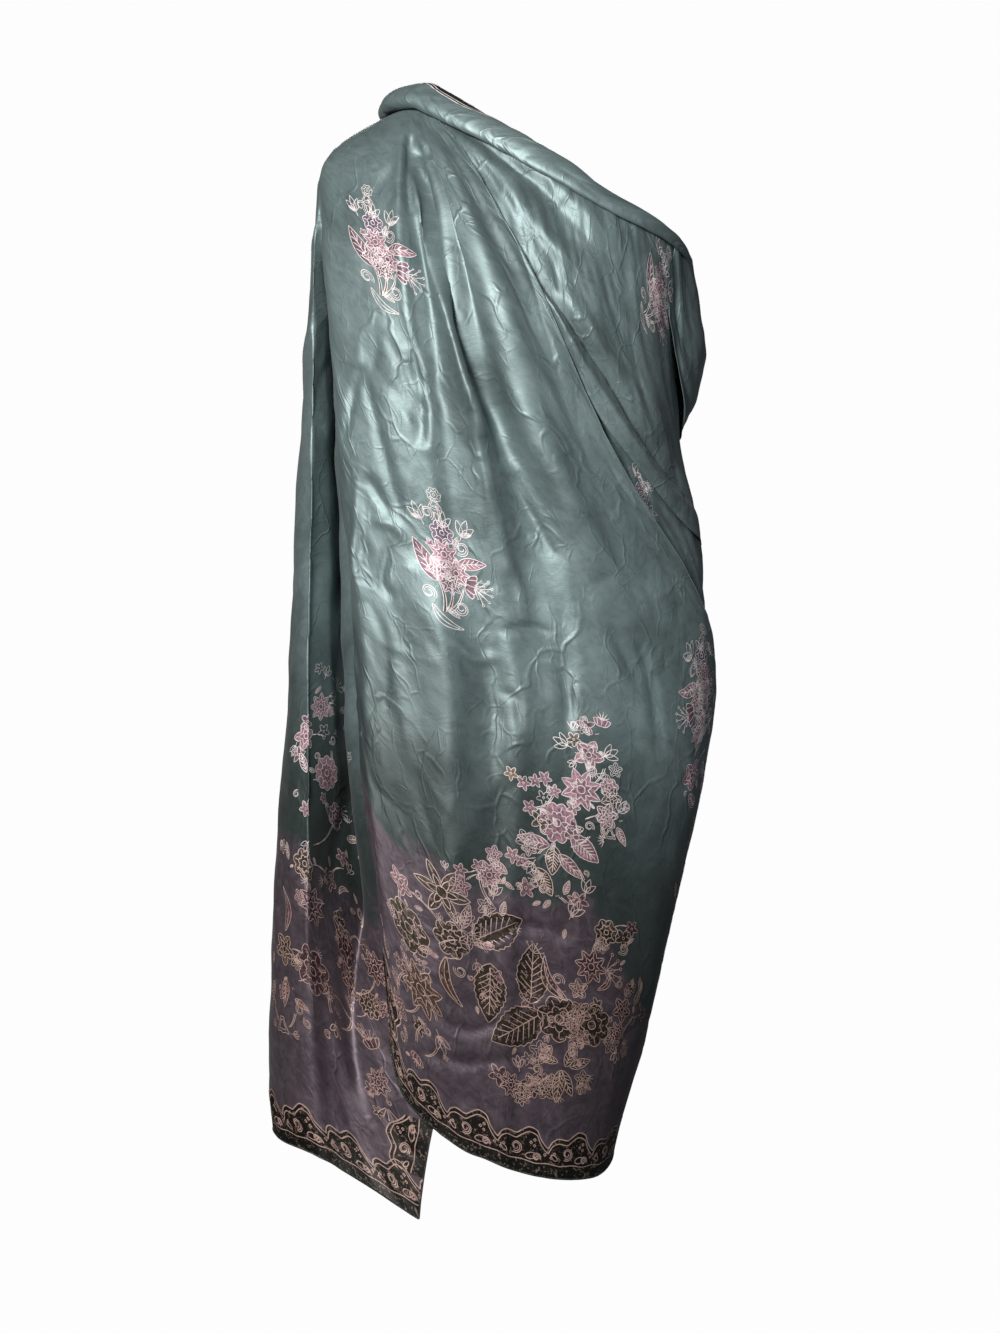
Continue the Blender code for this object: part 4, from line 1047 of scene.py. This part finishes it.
# the front end: its border turns up the near edge for one repeat; round the hip, out of
# sight, the band goes on with the motifs of the other end
front_drawing = {"lines": [], "patches": []}
draw_border(front_drawing, 11, lambda points: points)
draw_border(front_drawing, 1, lambda points: points[..., ::-1] + (0, 36))
draw_band(front_drawing, front_band, 71)
draw_band(front_drawing, [(motif, place - (150, 0), turn, size, dye) for motif, place, turn, size, dye in side_band
                          if place[0] > 492], 72)
for x, z, turn, mirrored in ((-18, -186, 4, False), (40, -467, 2, False), (274, -577, 0, True)):
    draw_spray(front_drawing, cut_of(front_cloth, x, z, -1), turn, mirrored)
front_print = print_pieces("front_fall_print", front_cloth, front_drawing)
front_hems = [
    rolled_hem("front_fall_hem", front_cloth, LOWER_EDGE, HEM, hem_silk),
    rolled_hem("front_fall_selvedge", front_cloth, FAR_EDGE, SELVEDGE, front_satin),
]

# the back end: on its unseen half the same band and three sprays as on the front end
back_drawing = {"lines": [], "patches": []}
hidden_edge = (back_cloth[2][-1, ::-1, 1], back_cloth[2][-1, ::-1, 0])
draw_border(back_drawing, 13, lambda points: points)
draw_border(back_drawing, 1, lambda points: np.stack(
    [np.interp(points[..., 0] + 36, *hidden_edge) - points[..., 1], points[..., 0] + 36], axis=-1))
draw_band(back_drawing, side_band, 73)
draw_band(back_drawing, [(motif, place + (50, 0), turn, size, dye) for motif, place, turn, size, dye in front_band], 74)
for place, turn, mirrored in (((110, 500), 2, False), ((175, 655), -3, True), ((70, 800), 4, False)):
    draw_spray(back_drawing, np.array(place), turn, mirrored)
back_print = print_pieces("back_fall_print", back_cloth, back_drawing)
back_hems = [
    rolled_hem("back_fall_hem", back_cloth, LOWER_EDGE, HEM, hem_silk),
    rolled_hem("back_fall_selvedge", back_cloth, NEAR_EDGE, SELVEDGE, back_satin),
    rolled_hem("back_fall_hidden_selvedge", back_cloth, FAR_EDGE, SELVEDGE, back_satin),
]

sweep_drawing = {"lines": [], "patches": []}
for x, z, turn, mirrored in ((218, -200, 8, False), (190, -366, -6, False)):
    draw_spray(sweep_drawing, cut_of(sweep_cloth, x, z, -1), turn, mirrored)
for place, turn in (((720, 190), 10), ((980, 150), 25)):
    draw_spray(sweep_drawing, np.array(place), turn)
sweep_print = print_pieces("torso_sweep_print", sweep_cloth, sweep_drawing)
sweep_hem = rolled_hem("torso_sweep_selvedge", sweep_cloth, LOWER_EDGE, SELVEDGE, field_satin)

# the border shows once more on top of the roll, over the shoulder: a dark strip between
# two pale lines, with a row of windings
roll_cloth = (roll_places, outward_of(roll_places), np.stack(roll_cut, axis=-1) * 1000)
roll_drawing = {"lines": [], "patches": []}
strip_along = np.linspace(300, 466, 84)
strip_up = 7 + 15 * np.sin(np.pi * np.linspace(0, 1, 84)) ** 0.4
levels = 3 + (strip_up - 3) * np.linspace(0, 1, 7)[:, None]
roll_drawing["patches"].append((np.stack([np.broadcast_to(strip_along, levels.shape), levels], axis=-1), "#2c332f"))
roll_drawing["lines"] += [(np.stack([strip_along, strip_up], axis=-1), 0.9),
                          (np.stack([strip_along, strip_up - 2.6], axis=-1), 0.7)]
for middle in np.arange(312, 460, 13):
    roll_drawing["lines"] += [(line, 0.7) for line in turned(curl(7)[0], 0.6, (middle, 4))]
roll_print = print_pieces("neck_roll_print", roll_cloth, roll_drawing)

# The studio: a matt paper floor that fades into a pale background, a soft lamp high in
# front and a little to the left, a weak one on the right and one behind.
floor_paper, tree, shader = new_material("matt_floor_paper")
where = add(tree, "ShaderNodeTexCoord").outputs["Object"]
grain = add(tree, "ShaderNodeTexNoise", inputs={"Scale": 300}, links={"Vector": where})
reach = add(tree, "ShaderNodeVectorMath", {"operation": "LENGTH"}, links={0: where})
fade = add(tree, "ShaderNodeMapRange", {"interpolation_type": "SMOOTHSTEP"}, {"From Min": 1.3, "From Max": 0.5},
           {"Value": reach.outputs["Value"]})
tree.links.new(add(tree, "ShaderNodeValToRGB", links={"Fac": grain.outputs["Fac"]},
                   stops=[(0.3, "#eeeff0"), (0.5, "#f1f2f2"), (0.7, "#f3f4f4")]).outputs["Color"],
               shader.inputs["Base Color"])
tree.links.new(fade.outputs[0], shader.inputs["Alpha"])
shader.inputs["Roughness"].default_value = 0.9
FLOOR_LEVEL = -1360
floor_round, floor_out = np.meshgrid(np.linspace(0, 2 * np.pi, 65), np.linspace(20, 2300, 12), indexing="ij")
floor_grid = np.stack([floor_out * np.cos(floor_round), floor_out * np.sin(floor_round),
                       np.full_like(floor_out, FLOOR_LEVEL)], axis=-1)
floor = grid_mesh("floor_paper", floor_grid[::-1], lengths(floor_grid), floor_paper)


def soft_lamp(name, place, aim, width, height, power, colour):
    """Rectangular soft lamp at a place, turned to its aim."""
    light = bpy.data.lights.new(name, "AREA")
    light.shape = "RECTANGLE"
    light.size, light.size_y, light.energy, light.color = width, height, power, linear(colour)[:3]
    lamp = bpy.data.objects.new(name, light)
    lamp.location = place
    way = np.subtract(aim, place)
    lamp.rotation_euler = (np.arctan2(np.hypot(way[0], way[1]), -way[2]), 0, np.arctan2(-way[0], way[1]))
    bpy.context.scene.collection.objects.link(lamp)


soft_lamp("key_lamp", (-0.82, -2.15, 0.45), (0.06, 0, -0.35), 0.7, 0.7, 82, "#fffaf6")
soft_lamp("back_lamp", (0.1, 2.7, 0.7), (0.08, 0, -0.5), 1.4, 1.4, 44, "#ffffff")
soft_lamp("fill_lamp", (1.7, -2.1, 0.1), (0.05, 0, -0.5), 1.2, 1.6, 7, "#f2f6ff")
world = bpy.data.worlds.new("studio_air")
world.use_nodes = True
seen = add(world.node_tree, "ShaderNodeLightPath").outputs["Is Camera Ray"]
strength = add(world.node_tree, "ShaderNodeMapRange", inputs={"To Min": 0.065, "To Max": 1.0}, links={"Value": seen})
world.node_tree.links.new(strength.outputs[0], world.node_tree.nodes["Background"].inputs["Strength"])
world.node_tree.nodes["Background"].inputs["Color"].default_value = linear("#fdfdfd")
bpy.context.scene.world = world
bpy.context.scene.view_settings.view_transform = "Standard"

camera = bpy.data.cameras.new("camera")
camera.lens = 66.8
camera.sensor_width = 36
camera = bpy.data.objects.new("camera", camera)
camera.location = (0.0884, -2.3, -0.5157)
camera.rotation_euler = (np.pi / 2, 0, 0)
bpy.context.scene.collection.objects.link(camera)
bpy.context.scene.camera = camera
